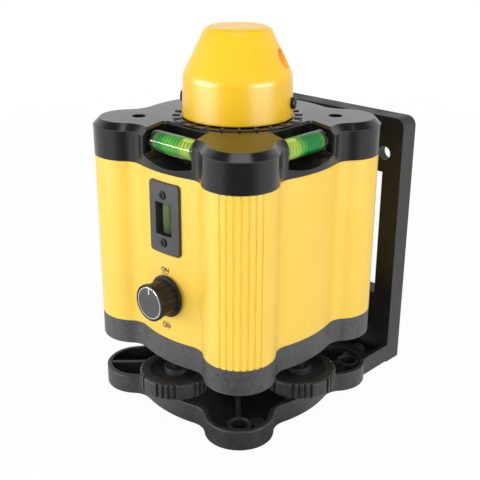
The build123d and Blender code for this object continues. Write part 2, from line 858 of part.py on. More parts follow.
# Top cap with two open vial recesses, deep screw holes and bosses for the chassis
def capsule(radius, half, round_end):
    """Round bar along X with rounded ends, centred on the origin."""
    bar = bar_x(radius, -half, half, 0, 0)
    return fillet(bar.edges().filter_by(GeomType.CIRCLE), round_end)


def recess_side(y, at_side, at_back):
    """Distance of a leaning end wall from the middle line of the knob side, at depth y."""
    return at_side + (at_back - at_side) * (y + side_reach) / recess_depth


def recess_plan(margin):
    """Outline of the vial recess in the -Y face, grown by margin and open to the outside."""
    outside = -lobe_reach
    back = recess_back + margin
    corners = []
    for y in (outside, back):
        corners.append((face_x - recess_side(y, recess_outer, recess_outer_back) - margin, y))
    for y in (back, outside):
        corners.append((face_x + recess_side(y, recess_inner, recess_inner_back) + margin, y))
    face = make_face(Polyline(*corners, close=True))
    return fillet(face.vertices().sort_by(Axis.Y)[-2:], recess_corner + margin)


def vial_recess(margin):
    """Open trough in the cap for the vial of the -Y face, grown by margin."""
    face = recess_plan(margin)
    if margin == 0:
        kept = plan(cap_overhang) - face
        lip_spot = Vector(face_x - recess_outer, -side_reach)
        lip = kept.vertices().sort_by(lambda corner: (Vector(corner.X, corner.Y) - lip_spot).length)[0]
        face += plan(cap_overhang) - fillet(lip, recess_lip_round)
    prism = Pos(0, 0, shell_high) * extrude(face, dome_low - shell_high)
    trough_z = recess_floor + recess_trough_radius
    trough_x = face_x + recess_trough_shift
    trough = bar_y(recess_trough_radius + margin, -lobe_reach, 0, trough_x, trough_z)
    return prism & trough


cap_out = slab(cap_overhang, shell_high, cap_high)
cap_out = chamfer(cap_out.edges().group_by(Axis.Z)[-1], cap_chamfer)
cap_hollow = slab(cap_overhang - cap_wall, shell_high, cap_ceiling)
front_recess = vial_recess(0)
recess_block = vial_recess(recess_wall)
vial_spot = Pos(face_x, vial_y, vial_z)
vial_boss = vial_spot * capsule(vial_radius + recess_wall, vial_half + recess_wall, vial_end_round + recess_wall)
for solid in (recess_block, vial_boss):
    cap_hollow -= solid
    cap_hollow -= mirrored_to_side(solid)
for sx, sy in quarter_signs:
    cap_hollow -= post(cap_column_radius, shell_high, cap_ceiling, sx * port_reach, sy * port_reach)
    boss_spot = (sx * chassis_boss_at, sy * chassis_boss_at)
    cap_hollow -= post(chassis_boss_radius, shell_high, cap_ceiling, *boss_spot)
top_cap = cap_out - cap_hollow
for sx, sy in quarter_signs:
    boss_spot = (sx * chassis_boss_at, sy * chassis_boss_at)
    top_cap += post(chassis_boss_radius, chassis_high, cap_ceiling, *boss_spot)
vial_pocket = vial_spot * capsule(vial_radius + run_clear, vial_half + free_gap, vial_end_round + run_clear)
for cut in (front_recess, vial_pocket):
    top_cap -= cut
    top_cap -= mirrored_to_side(cut)
top_cap -= post(cap_mouth_radius, cap_ceiling, cap_high)
top_edges = top_cap.edges().filter_by(GeomType.LINE).group_by(Axis.Z)[-1]
top_cap = chamfer(top_edges, recess_edge)
for sx, sy in cap_screw_signs:
    top_cap -= post(cap_screw_recess, cap_screw_seat, cap_high, sx * port_reach, sy * port_reach)
    top_cap -= post(main_shank + run_clear, shell_high, cap_high, sx * port_reach, sy * port_reach)
for sx, sy in quarter_signs:
    boss_spot = (sx * chassis_boss_at, sy * chassis_boss_at)
    top_cap -= post(small_shank, chassis_high, chassis_high + chassis_screw_grip, *boss_spot)
save(top_cap, "top_cap")

cap_screw = screw(main_shank, main_head, main_head_height, cap_screw_seat - shell_high + port_screw_grip)
cap_screws = [Pos(sx * port_reach, sy * port_reach, cap_screw_seat) * cap_screw for sx, sy in cap_screw_signs]
save(group(cap_screws), "cap_screws")

# Ribbed dial ring under the dome
dial_ring = ring(dial_outer, dial_inner, cap_high, cap_high + dial_base)
for index in range(dial_ribs):
    rib = block(
        dial_rib_in, dial_outer, -dial_rib_width / 2, dial_rib_width / 2, cap_high, cap_high + dial_rib_high
    )
    dial_ring += Rot(0, 0, 360 * index / dial_ribs) * rib
dial_ring &= post(dial_outer, cap_high, cap_high + dial_rib_high)
save(dial_ring, "dial_ring")

# Levelling vials and the fluid with its bubble
vial_fluid = capsule(vial_bore, vial_bore_half, fluid_end_round)
vial_glass = capsule(vial_radius, vial_half, vial_end_round) - vial_fluid
bubble = capsule(bubble_radius, bubble_half, bubble_end_round)
vial_fluid -= Pos(0, 0, vial_bore) * bubble
for vial_name, piece in (("front_vial", vial_glass), ("front_vial_fluid", vial_fluid)):
    placed = vial_spot * piece
    save(placed, vial_name)
    save(mirrored_to_side(placed), vial_name.replace("front", "side"))

# Plumb window: a curved plate on the shell with a sleeve behind it that holds an upright vial
plumb_bezel = block(
    bezel_x - bezel_width / 2, bezel_x + bezel_width / 2, -lobe_reach, -wall_side_depth,
    bezel_z - bezel_height / 2, bezel_z + bezel_height / 2,
)
plumb_bezel = fillet(plumb_bezel.edges().filter_by(Axis.Y), bezel_corner)
plumb_bezel &= slab(bezel_proud, shell_low, shell_high)
plumb_bezel = chamfer(plumb_bezel.faces().sort_by(Axis.Y)[0].edges(), bezel_edge)
plumb_bezel -= shell_out
plumb_bezel += block(
    bezel_x - sleeve_half_width, bezel_x + sleeve_half_width, -side_reach, -sleeve_depth,
    sleeve_low, sleeve_high,
)
plumb_bezel -= block(
    bezel_x - window_width / 2, bezel_x + window_width / 2, -bezel_front, plumb_y,
    window_z - window_height / 2, window_z + window_height / 2,
)
plumb_bore_low = window_z - plumb_half - run_clear
plumb_bore_high = window_z + plumb_half + run_clear
plumb_bezel -= post(plumb_radius + run_clear, plumb_bore_low, plumb_bore_high, bezel_x, plumb_y)
bezel_head_seat = bezel_front - bezel_head_sunk
for side in (-1, 1):
    screw_z = window_z + side * bezel_screw_rise
    plumb_bezel -= bar_y(small_shank + run_clear, -bezel_front, -sleeve_depth, bezel_x, screw_z)
    plumb_bezel -= bar_y(small_head + seat_clear, -bezel_front, -bezel_head_seat, bezel_x, screw_z)
save(plumb_bezel, "plumb_bezel")

bezel_screw = screw(small_shank, small_head, bezel_head_height, bezel_screw_length)
bezel_screws = []
for side in (-1, 1):
    screw_z = window_z + side * bezel_screw_rise
    bezel_screws.append(Pos(bezel_x, -bezel_head_seat, screw_z) * Rot(90, 0, 0) * bezel_screw)
save(group(bezel_screws), "bezel_screws")

plumb_fluid = capsule(plumb_bore, plumb_bore_half, fluid_end_round)
plumb_vial = capsule(plumb_radius, plumb_half, plumb_end_round) - plumb_fluid
plumb_fluid -= Pos(plumb_bore_half - plumb_bubble, 0, 0) * Sphere(plumb_bubble)
for vial_name, piece in (("plumb_vial", plumb_vial), ("plumb_vial_fluid", plumb_fluid)):
    save(Pos(bezel_x, plumb_y, window_z) * Rot(0, -90, 0) * piece, vial_name)

# Chassis plate with the bearing tower and the motor shelf
chassis = block(-chassis_half, chassis_half, -chassis_half, chassis_half, chassis_low, chassis_high)
chassis += block(-motor_shelf_half, motor_shelf_half, 0, motor_shelf_reach, chassis_low, chassis_high)
chassis += post(tower_radius, chassis_low, tower_top)
chassis -= post(bearing_step, chassis_low, tower_top)
chassis -= post(bearing_radius, chassis_low, lower_bearing_low + bearing_height)
chassis -= post(bearing_radius, upper_bearing_low, tower_top)
chassis -= post(motor_nose_radius + seat_clear, chassis_low, chassis_high, 0, motor_y)
for side in (-1, 1):
    chassis -= post(motor_shank + run_clear, chassis_low, chassis_high, side * motor_screw_x, motor_y)
for sx, sy in quarter_signs:
    boss_spot = (sx * chassis_boss_at, sy * chassis_boss_at)
    chassis -= post(small_shank + run_clear, chassis_low, chassis_high, *boss_spot)
save(chassis, "chassis")

chassis_screw_length = chassis_thick + chassis_screw_grip - free_gap
chassis_screw = screw(small_shank, small_head, small_head_height, chassis_screw_length)
chassis_screws = []
for sx, sy in quarter_signs:
    spot = Pos(sx * chassis_boss_at, sy * chassis_boss_at, chassis_low)
    chassis_screws.append(spot * Rot(180, 0, 0) * chassis_screw)
save(group(chassis_screws), "chassis_screws")

bearings = []
for low in (lower_bearing_low, upper_bearing_low):
    bearings.append(ring(bearing_radius, bearing_bore, low, low + bearing_height))
save(group(bearings), "spindle_bearings")

# Laser module hung from the chassis, aimed up the spindle
laser_module = post(laser_radius, laser_low, laser_high)
laser_module -= post(laser_lens_radius, laser_high - laser_lens_thick, laser_high)
save(laser_module, "laser_module")
save(post(laser_lens_radius, laser_high - laser_lens_thick, laser_high), "laser_lens")
laser_mount = post(mount_ring_radius, mount_ring_low, mount_ring_high)
laser_mount += block(0, mount_leg_out, -mount_half, mount_half, mount_ring_low, mount_ring_high)
laser_mount += block(mount_leg_in, mount_leg_out, -mount_half, mount_half, mount_ring_low, chassis_low)
flange_low = chassis_low - mount_flange
laser_mount += block(mount_leg_in, mount_flange_out, -mount_half, mount_half, flange_low, chassis_low)
laser_mount -= post(laser_radius, mount_ring_low, mount_ring_high)
save(laser_mount, "laser_mount")

# Motor, its screws and the belt
motor = post(motor_radius, chassis_high, chassis_high + motor_height, 0, motor_y)
motor += post(motor_nose_radius, chassis_high - motor_nose, chassis_high, 0, motor_y)
motor_shaft_top = chassis_high + motor_shaft_reach
motor_bore = motor_shaft_radius + run_clear
motor -= post(motor_bore, chassis_high - motor_nose, motor_shaft_top + free_gap, 0, motor_y)
for side in (-1, 1):
    motor -= post(motor_shank, chassis_high, chassis_high + motor_screw_grip, side * motor_screw_x, motor_y)
save(motor, "motor")
motor_screw = screw(motor_shank, motor_head, motor_head_height, chassis_thick + motor_screw_grip - free_gap)
motor_screws = []
for side in (-1, 1):
    motor_screws.append(Pos(side * motor_screw_x, motor_y, chassis_low) * Rot(180, 0, 0) * motor_screw)
save(group(motor_screws), "motor_screws")


def belt_loop(extra):
    """Face of an open belt run around the two pulleys, extra outside their rims."""
    big = driven_radius + extra
    small = driver_radius + extra
    lean = (big - small) / motor_y
    rise = sqrt(1 - lean ** 2)
    big_right = (big * rise, big * lean)
    small_right = (small * rise, motor_y + small * lean)
    return make_face([
        Line(big_right, small_right),
        ThreePointArc(small_right, (0, motor_y + small), (-small_right[0], small_right[1])),
        Line((-small_right[0], small_right[1]), (-big_right[0], big_right[1])),
        ThreePointArc((-big_right[0], big_right[1]), (0, -big), big_right),
    ])


belt_low = pulley_low + pulley_lip + free_gap
belt_high = pulley_low + pulley_height - pulley_lip - free_gap
belt_face = belt_loop(free_gap + belt_thick) - belt_loop(free_gap)
drive_belt = Pos(0, 0, belt_low) * extrude(belt_face, belt_high - belt_low)
save(drive_belt, "drive_belt")


def pulley(radius, bore):
    """Flat pulley with a lip on either side, standing at pulley_low."""
    wheel_body = post(radius, pulley_low, pulley_low + pulley_height)
    wheel_body += post(radius + lip_rise, pulley_low, pulley_low + pulley_lip)
    wheel_body += post(radius + lip_rise, pulley_low + pulley_height - pulley_lip, pulley_low + pulley_height)
    return wheel_body - post(bore, pulley_low, pulley_low + pulley_height)


driven_hub_top = lower_bearing_low - free_gap
driven_pulley = pulley(driven_radius, spindle_radius)
driven_pulley += ring(pulley_hub_radius, spindle_radius, pulley_low + pulley_height, driven_hub_top)
save(driven_pulley, "driven_pulley")
save(Pos(0, motor_y, 0) * pulley(driver_radius, motor_shaft_radius), "motor_pulley")
save(post(motor_shaft_radius, pulley_low, motor_shaft_top, 0, motor_y), "motor_shaft")

# Circuit board in the card guides
circuit_board = block(board_x, board_x + board_thick, -board_half, board_half, board_low, board_high)
chip_face = board_x + board_thick
for y, z, half, tall, rise in board_chips:
    chip_z = board_low + z
    circuit_board += block(chip_face, chip_face + rise, y - half, y + half, chip_z - tall, chip_z + tall)
save(circuit_board, "circuit_board")

# Speed control behind the knob side of the shell
speed_control = block(
    face_x - pot_half, face_x + pot_half, -side_reach, -pot_back, knob_z - pot_half, knob_z + pot_half
)
speed_control &= shell_in
speed_control += bar_y(bushing_radius, -bushing_front, -pot_back, face_x, knob_z)
pot_bore = pot_shaft_radius + run_clear
speed_control -= bar_y(pot_bore, -bushing_front, -pot_shaft_back + free_gap, face_x, knob_z)
save(speed_control, "speed_control")
hexagon = RegularPolygon(pot_nut_flat, 6, major_radius=False)
pot_nut = extrude(Plane.XZ.offset(wall_side_depth) * hexagon, pot_nut_front - wall_side_depth)
pot_nut = Pos(face_x, 0, knob_z) * pot_nut
pot_nut -= shell_out
pot_nut -= bar_y(bushing_radius, -pot_nut_front, -pot_back, face_x, knob_z)
save(pot_nut, "pot_nut")

# Knob with its face plate and shaft, modelled upright and then laid along Y
power_knob = post(knob_skirt_radius, 0, skirt_height)
power_knob = chamfer(power_knob.edges().group_by(Axis.Z)[-1], knob_skirt_edge)
grip_length = knob_length - knob_rim_length
grip_profile = Polyline(
    (0, 0), (knob_grip_back, 0), (knob_grip_front, grip_length), (knob_rim_radius, grip_length),
    (knob_rim_radius, knob_length - knob_edge), (knob_rim_radius - knob_edge, knob_length),
    (0, knob_length), close=True,
)
power_knob += revolve(make_face(Plane.XZ * grip_profile), Axis.Z)
knob_lean = (knob_grip_back - knob_grip_front) / grip_length
flute_start = knob_grip_back - knob_lean * skirt_height
flute_length = grip_length - skirt_height - free_gap
for index in range(knob_flutes):
    groove = Rot(0, -degrees(atan(knob_lean)), 0) * post(knob_flute_radius, 0, flute_length)
    power_knob -= Rot(0, 0, 360 * index / knob_flutes) * Pos(flute_start, 0, skirt_height) * groove
power_knob -= post(knob_hollow_radius, 0, knob_hollow_depth)
power_knob -= post(pot_shaft_radius, 0, pot_shaft_front - knob_base)
power_knob -= post(knob_face_radius, knob_length - knob_face_depth, knob_length)
knob_face = post(knob_face_radius, knob_length - knob_face_depth, knob_length)
knob_face = chamfer(knob_face.edges().group_by(Axis.Z)[-1], knob_face_edge)
for knob_name, piece in (("power_knob", power_knob), ("knob_face", knob_face)):
    save(Pos(face_x, -knob_base, knob_z) * Rot(90, 0, 0) * piece, knob_name)
save(bar_y(pot_shaft_radius, -pot_shaft_front, -pot_shaft_back, face_x, knob_z), "pot_shaft")

# Battery box, cells and their leaf contacts
box_outer_half = box_half + box_wall
battery_box = block(-lobe_reach, -box_back + box_wall, -box_outer_half, box_outer_half, box_low, box_high)
battery_box &= shell_in
battery_box -= block(-lobe_reach, -box_back, -box_half, box_half, box_low + box_wall, box_high - box_wall)
battery_box -= post(lug_radius + free_gap, box_low, box_high, hinge_x, hinge_y)
save(battery_box, "battery_box")
cells = []
contacts = []
cell_y = cell_pitch / 2
for x in (cell_front_x, cell_back_x):
    for side in (-1, 1):
        cells.append(post(cell_radius, cell_low, cell_high, x, side * cell_y))
for low in (cell_low - contact_thick, cell_high):
    for side in (-1, 1):
        y = side * cell_y
        contacts.append(
            block(
                cell_front_x - contact_half, cell_back_x + contact_half, y - contact_half, y + contact_half,
                low, low + contact_thick,
            )
        )
save(group(cells), "batteries")
save(group(contacts), "battery_contacts")

# Battery door on its pin
door_panel = shell_skin & block(-lobe_reach, 0, -door_half, hinge_y, door_low, door_high)
battery_door = door_panel + post(barrel_radius, door_low, door_high, hinge_x, hinge_y)
battery_door -= post(door_pin_radius, door_low, door_high, hinge_x, hinge_y)
scoop_x = side_radius - side_reach - sqrt(side_radius ** 2 - scoop_y ** 2)
scoop_spot = Pos(scoop_x - scoop_radius + scoop_depth, scoop_y, (door_low + door_high) / 2)
battery_door -= scoop_spot * Sphere(scoop_radius)
save(battery_door, "battery_door")
pin_reach = lug_hole + free_gap - seat_clear
save(post(door_pin_radius, door_low - pin_reach, door_high + pin_reach, hinge_x, hinge_y), "door_pin")

# Rotor dome: drafted wall, rounded shoulder, cone and flat top
dome_slope = dome_draft / dome_wall_height


def dome_wall_at(z):
    """Outer radius of the dome's wall at height z."""
    return dome_radius - dome_slope * (z - dome_low)


def dome_solid(inset):
    """Solid of the dome moved inward by inset."""
    angle = radians(dome_half_angle)
    shoulder = dome_shoulder - inset * (1 / cos(angle) - 1) / (tan(angle) - dome_slope)
    shoulder_radius = dome_wall_at(shoulder) - inset
    top = dome_top - inset
    top_radius = shoulder_radius - (top - shoulder) * tan(angle)
    corners = [
        (0, dome_low), (dome_radius - inset, dome_low), (shoulder_radius, shoulder), (top_radius, top), (0, top)
    ]
    profile = Polyline(*corners, close=True)
    solid = revolve(make_face(Plane.XZ * profile), Axis.Z)
    circles = solid.edges().filter_by(GeomType.CIRCLE).sort_by(Axis.Z)
    solid = fillet(circles[1], dome_shoulder_round - inset)
    circles = solid.edges().filter_by(GeomType.CIRCLE).sort_by(Axis.Z)
    return fillet(circles[-1], dome_top_round - inset)


dome_out = dome_solid(0)
dome_in = dome_solid(dome_wall)
beam_hole = bar_x(aperture_radius, 0, dome_radius, 0, aperture_z)
rotor_dome = dome_out - dome_in - beam_hole
rotor_dome -= bar_x(main_shank + run_clear, -dome_radius, dome_radius, 0, dome_screw_z)
facing = Rot(0, 0, dome_turn)
save(facing * rotor_dome, "rotor_dome")
glass_layer = dome_solid(dome_wall - aperture_glass) - dome_in
aperture_window = (glass_layer & bar_x(aperture_radius, 0, dome_radius, 0, aperture_z)).solids()[0]
save(facing * aperture_window, "aperture_window")

dome_screw_seat = dome_wall_at(dome_screw_z - dome_screw_head)
dome_screw = screw(main_shank, dome_screw_head, dome_screw_head_rise, dome_screw_length)
dome_screws = []
for turn in (0, 180):
    on_wall = Pos(dome_screw_seat, 0, dome_screw_z) * Rot(0, 90, 0)
    dome_screws.append(facing * Rot(0, 0, turn) * on_wall * dome_screw)
save(group(dome_screws), "dome_screws")

# Prism holder on the spindle, the prism and the hollow spindle
holder_radius = dome_wall_at(holder_high) - dome_wall - seat_clear
holder_hub_low = upper_bearing_low + bearing_height + free_gap
prism_holder = post(holder_radius, holder_low, holder_high)
prism_holder += post(holder_hub_radius, holder_hub_low, holder_low)
prism_holder -= post(spindle_radius, holder_hub_low, holder_high - holder_stop)
prism_holder -= post(spindle_bore, holder_low, holder_high)
dome_screw_tip = dome_screw_seat - dome_screw_length
prism_holder -= bar_x(main_shank, -holder_radius, -dome_screw_tip, 0, dome_screw_z)
prism_holder -= bar_x(main_shank, dome_screw_tip, holder_radius, 0, dome_screw_z)
save(facing * prism_holder, "prism_holder")
prism_base = holder_high
prism_outline = Polyline(
    (-prism_half, prism_base), (prism_half, prism_base), (prism_half, prism_base + prism_height),
    (prism_half - prism_cut, prism_base + prism_height), (-prism_half, prism_base + prism_height - prism_cut),
    close=True,
)
pentaprism = extrude(make_face(Plane.XZ * prism_outline), prism_half, both=True)
save(facing * pentaprism, "pentaprism")
save(ring(spindle_radius, spindle_bore, spindle_low, holder_high - holder_stop), "spindle")
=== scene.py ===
import json
import math

import bmesh
import bpy
from mathutils import Matrix, Vector


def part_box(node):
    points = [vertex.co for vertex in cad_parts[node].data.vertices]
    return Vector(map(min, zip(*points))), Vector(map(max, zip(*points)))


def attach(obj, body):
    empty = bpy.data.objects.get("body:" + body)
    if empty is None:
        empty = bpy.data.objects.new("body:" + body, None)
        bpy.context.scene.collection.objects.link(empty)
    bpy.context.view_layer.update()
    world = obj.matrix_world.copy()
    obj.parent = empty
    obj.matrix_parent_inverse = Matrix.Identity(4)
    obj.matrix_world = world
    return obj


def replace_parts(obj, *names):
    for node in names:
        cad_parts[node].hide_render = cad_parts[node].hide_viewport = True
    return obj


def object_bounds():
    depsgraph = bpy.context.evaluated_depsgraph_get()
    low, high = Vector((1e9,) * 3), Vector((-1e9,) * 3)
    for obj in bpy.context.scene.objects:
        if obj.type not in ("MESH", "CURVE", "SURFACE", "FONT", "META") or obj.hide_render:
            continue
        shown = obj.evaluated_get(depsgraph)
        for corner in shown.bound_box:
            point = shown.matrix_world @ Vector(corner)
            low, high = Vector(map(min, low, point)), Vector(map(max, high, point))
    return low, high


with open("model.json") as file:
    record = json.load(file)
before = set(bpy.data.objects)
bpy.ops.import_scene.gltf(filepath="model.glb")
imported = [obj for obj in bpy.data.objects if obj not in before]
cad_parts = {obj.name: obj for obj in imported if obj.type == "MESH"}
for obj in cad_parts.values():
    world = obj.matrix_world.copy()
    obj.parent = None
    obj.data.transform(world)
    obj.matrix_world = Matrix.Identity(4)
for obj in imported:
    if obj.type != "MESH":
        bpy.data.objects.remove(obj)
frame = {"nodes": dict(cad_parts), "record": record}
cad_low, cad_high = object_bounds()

nodes = frame["nodes"]
scene = bpy.context.scene
scene.view_settings.view_transform = "Standard"
MM = 0.001
mm_per_metre = 1000.0

# Sizes that the looks share with the solids
side_reach = 55.0 * MM
side_arc = 71.0 * MM

# Viewing direction of the photograph
camera_azimuth = 43.451
camera_distance = 456.604 * MM
camera_height = 267.498 * MM
camera_pitch = 21.513
camera_yaw = -0.215
camera_roll = 0.348
lens_pixels = 878.633
image_pixels = 480
sensor_width = 36.0
nearest_seen = 0.01

# Colours, as linear light
shell_yellow = (0.95, 0.645, 0.080)
shell_yellow_deep = (0.93, 0.61, 0.062)
dome_yellow = (0.98, 0.60, 0.016)
dome_yellow_deep = (0.96, 0.55, 0.008)
cap_black = (0.007, 0.007, 0.008)
cap_black_pale = (0.011, 0.011, 0.012)
# Pale grey of the painted highlight on the black cap's outer edges
cap_edge_highlight_grey = (0.085, 0.085, 0.090)
plate_black = (0.024, 0.024, 0.025)
plate_black_pale = (0.037, 0.037, 0.038)
grain_grey = (0.030, 0.030, 0.032)
grain_grey_pale = (0.074, 0.073, 0.076)
base_black = (0.006, 0.006, 0.006)
base_black_pale = (0.028, 0.0275, 0.027)
# Darker copy of the base black for the wall bracket: painted shade where it sits behind the body
bracket_shaded_black = (0.004, 0.004, 0.004)
bracket_shaded_black_pale = (0.010, 0.010, 0.009)
knob_grey = (0.030, 0.031, 0.034)
knob_grey_pale = (0.048, 0.049, 0.053)
bare_metal = (0.62, 0.62, 0.60)
pointer_white = (0.60, 0.60, 0.58)
dust_grey = (0.35, 0.33, 0.30)
glass_green = (0.78, 0.90, 0.54)
glass_green_pale = (0.84, 0.93, 0.62)
# Vial fluid: lime, green, deep green and olive, painted light and shade along the fluid
fluid_shades = ((0.38, 0.48, 0.09), (0.085, 0.36, 0.06), (0.0, 0.17, 0.048), (0.10, 0.20, 0.035))
# Darker copies of the fluid shades for the upright vial: painted shade behind the plate's window
plumb_fluid_painted_shade = ((0.11, 0.13, 0.07), (0.09, 0.115, 0.055), (0.04, 0.06, 0.025), (0.02, 0.03, 0.01))
ring_green = (0.003, 0.030, 0.008)
# Bubble and orange window colours, which also give their painted glow
bubble_lime = (0.48, 0.66, 0.12)
bubble_lime_pale = (0.70, 0.80, 0.24)
window_red = (0.82, 0.17, 0.008)
window_orange = (0.95, 0.33, 0.016)
prism_blue = (0.95, 0.97, 1.0)
prism_white = (1.0, 1.0, 1.0)
print_brown = (0.055, 0.028, 0.006)
print_brown_pale = tuple(1.8 * part for part in print_brown)
floor_grey = (0.78, 0.78, 0.78)
floor_grey_pale = (0.82, 0.82, 0.82)
backdrop_white = (1.0, 1.0, 1.0)
backdrop_dim = (0.12, 0.12, 0.13)
room_white = (1.0, 0.99, 0.97)


# Node helpers
def add(tree, kind, settings=None, **sockets):
    """New node with its settings and the values or links of its named inputs."""
    node = tree.nodes.new(kind)
    for name, value in (settings or {}).items():
        setattr(node, name, value)
    for name, value in sockets.items():
        fill(tree, node.inputs[name.replace("_", " ")], value)
    return node


def fill(tree, socket, value):
    """Link or constant into one input."""
    if isinstance(value, bpy.types.NodeSocket):
        tree.links.new(value, socket)
    elif isinstance(value, tuple) and socket.type == "RGBA":
        socket.default_value = (*value, 1.0)
    else:
        socket.default_value = value


def set_constants(shader, **sockets):
    """Values that are the same all over the surface, on the shader's own inputs."""
    for name, value in sockets.items():
        shader.inputs[name.replace("_", " ")].default_value = value


def calculate(tree, operation, first, second=0.0, clamp=False):
    """One step of arithmetic."""
    node = add(tree, "ShaderNodeMath", {"operation": operation, "use_clamp": clamp})
    fill(tree, node.inputs[0], first)
    fill(tree, node.inputs[1], second)
    return node.outputs[0]


def vector_step(tree, operation, first, second=None):
    """One step of vector arithmetic; a length or a dot product comes out as a value."""
    node = add(tree, "ShaderNodeVectorMath", {"operation": operation})
    fill(tree, node.inputs[0], first)
    if second is not None:
        fill(tree, node.inputs[1], second)
    return node.outputs["Value" if operation in ("LENGTH", "DOT_PRODUCT") else "Vector"]


def mix_colour(tree, factor, first, second):
    """Colour between two colours."""
    node = add(tree, "ShaderNodeMix", {"data_type": "RGBA"})
    for socket, value in ((0, factor), (6, first), (7, second)):
        fill(tree, node.inputs[socket], value)
    return node.outputs[2]


def mix_shader(tree, factor, first, second):
    """Shader between two shaders."""
    node = tree.nodes.new("ShaderNodeMixShader")
    for socket, value in enumerate((factor, first, second)):
        fill(tree, node.inputs[socket], value)
    return node.outputs[0]


def spread(tree, value, low=0.0, high=1.0, start=0.0, end=1.0):
    """Value moved smoothly from the range start to end into the range low to high."""
    node = add(tree, "ShaderNodeMapRange", {"interpolation_type": "SMOOTHSTEP"}, Value=value)
    node.inputs["From Min"].default_value = start
    node.inputs["From Max"].default_value = end
    node.inputs["To Min"].default_value = low
    node.inputs["To Max"].default_value = high
    return node.outputs[0]


def noise(tree, place, scale, detail, roughness=0.5):
    """Cloudy pattern between 0 and 1."""
    node = add(tree, "ShaderNodeTexNoise", Vector=place, Scale=scale, Detail=detail, Roughness=roughness)
    return node.outputs["Fac"]


def scale_for(tree, size):
    """Pattern scale for a size in millimetres."""
    return calculate(tree, "DIVIDE", mm_per_metre, size)


def object_place(tree):
    """Place on the object, in metres."""
    return add(tree, "ShaderNodeTexCoord").outputs["Object"]


def group_tree(name, inputs, outputs):
    """Empty shader group with named sockets."""
    tree = bpy.data.node_groups.new(name, "ShaderNodeTree")
    for socket_name, kind, value in inputs:
        socket = tree.interface.new_socket(name=socket_name, in_out="INPUT", socket_type=kind)
        socket.default_value = value
    for socket_name in outputs:
        tree.interface.new_socket(name=socket_name, in_out="OUTPUT", socket_type="NodeSocketFloat")
    return tree, tree.nodes.new("NodeGroupInput"), tree.nodes.new("NodeGroupOutput")


def use_group(tree, group, **sockets):
    """A shared effect placed in a material."""
    return add(tree, "ShaderNodeGroup", {"node_tree": group}, **sockets)


# Shared surface effects
def make_moulded_grain():
    """Spark-eroded mould texture: a fine grain on a broad mottle, sizes in millimetres."""
    tree, given, result = group_tree(
        "moulded_grain",
        [("Grain Size", "NodeSocketFloat", 0.6), ("Mottle Size", "NodeSocketFloat", 8.0)],
        ["Tone", "Height"],
    )
    place = object_place(tree)
    grain_share, mottle_share = 0.55, 0.45
    grain_scale = scale_for(tree, given.outputs["Grain Size"])
    mottle_scale = scale_for(tree, given.outputs["Mottle Size"])
    grain = noise(tree, place, grain_scale, detail=3.0, roughness=0.65)
    mottle = noise(tree, place, mottle_scale, detail=4.0, roughness=0.6)
    fine = calculate(tree, "MULTIPLY", grain, grain_share)
    broad = calculate(tree, "MULTIPLY", mottle, mottle_share)
    both = calculate(tree, "ADD", fine, broad)
    fill(tree, result.inputs["Tone"], spread(tree, both, start=0.32, end=0.68))
    fill(tree, result.inputs["Height"], grain)
    return tree


def make_painted_edge_highlights():
    """Mask of the outer edges, where a painted highlight lightens a moulding; the width is in millimetres.
    """
    tree, given, result = group_tree(
        "painted_edge_highlights",
        [("Edge Width", "NodeSocketFloat", 0.5), ("Gain", "NodeSocketFloat", 6.0)],
        ["Mask"],
    )
    width = calculate(tree, "MULTIPLY", given.outputs["Edge Width"], MM)
    rounded = add(tree, "ShaderNodeBevel", {"samples": 4}, Radius=width)
    true = add(tree, "ShaderNodeNewGeometry").outputs["Normal"]
    match = vector_step(tree, "DOT_PRODUCT", rounded.outputs[0], true)
    turn = calculate(tree, "SUBTRACT", 1.0, match)
    mask = calculate(tree, "MULTIPLY", turn, given.outputs["Gain"], clamp=True)
    fill(tree, result.inputs["Mask"], mask)
    return tree


def make_hand_smudges():
    """Faint patches where hands have changed the gloss, with their size in millimetres."""
    tree, given, result = group_tree("hand_smudges", [("Patch Size", "NodeSocketFloat", 25.0)], ["Mask"])
    scale = scale_for(tree, given.outputs["Patch Size"])
    patches = noise(tree, object_place(tree), scale, detail=5.0, roughness=0.62)
    fill(tree, result.inputs["Mask"], spread(tree, patches, start=0.35, end=0.7))
    return tree


def make_machined_lines():
    """Fine lines left by turning or drawing, stretched along one direction."""
    tree, given, result = group_tree(
        "machined_lines",
        [("Stretch", "NodeSocketVector", (1.0, 1.0, 12.0)), ("Line Size", "NodeSocketFloat", 0.5)],
        ["Tone", "Height"],
    )
    stretched = vector_step(tree, "MULTIPLY", object_place(tree), given.outputs["Stretch"])
    scale = scale_for(tree, given.outputs["Line Size"])
    lines = noise(tree, stretched, scale, detail=2.0, roughness=0.6)
    fill(tree, result.inputs["Tone"], spread(tree, lines, start=0.3, end=0.7))
    fill(tree, result.inputs["Height"], lines)
    return tree


def make_settled_dust():
    """Thin dust on faces that look upward."""
    tree, given, result = group_tree("settled_dust", [("Amount", "NodeSocketFloat", 0.3)], ["Mask"])
    speck_scale = 900.0
    upward = tree.nodes.new("ShaderNodeSeparateXYZ")
    fill(tree, upward.inputs[0], add(tree, "ShaderNodeNewGeometry").outputs["Normal"])
    facing = spread(tree, upward.outputs["Z"], start=0.6, end=1.0)
    specks = noise(tree, object_place(tree), speck_scale, detail=4.0, roughness=0.7)
    specks = spread(tree, specks, start=0.5, end=0.75)
    film = calculate(tree, "MULTIPLY", facing, specks)
    fill(tree, result.inputs["Mask"], calculate(tree, "MULTIPLY", film, given.outputs["Amount"]))
    return tree


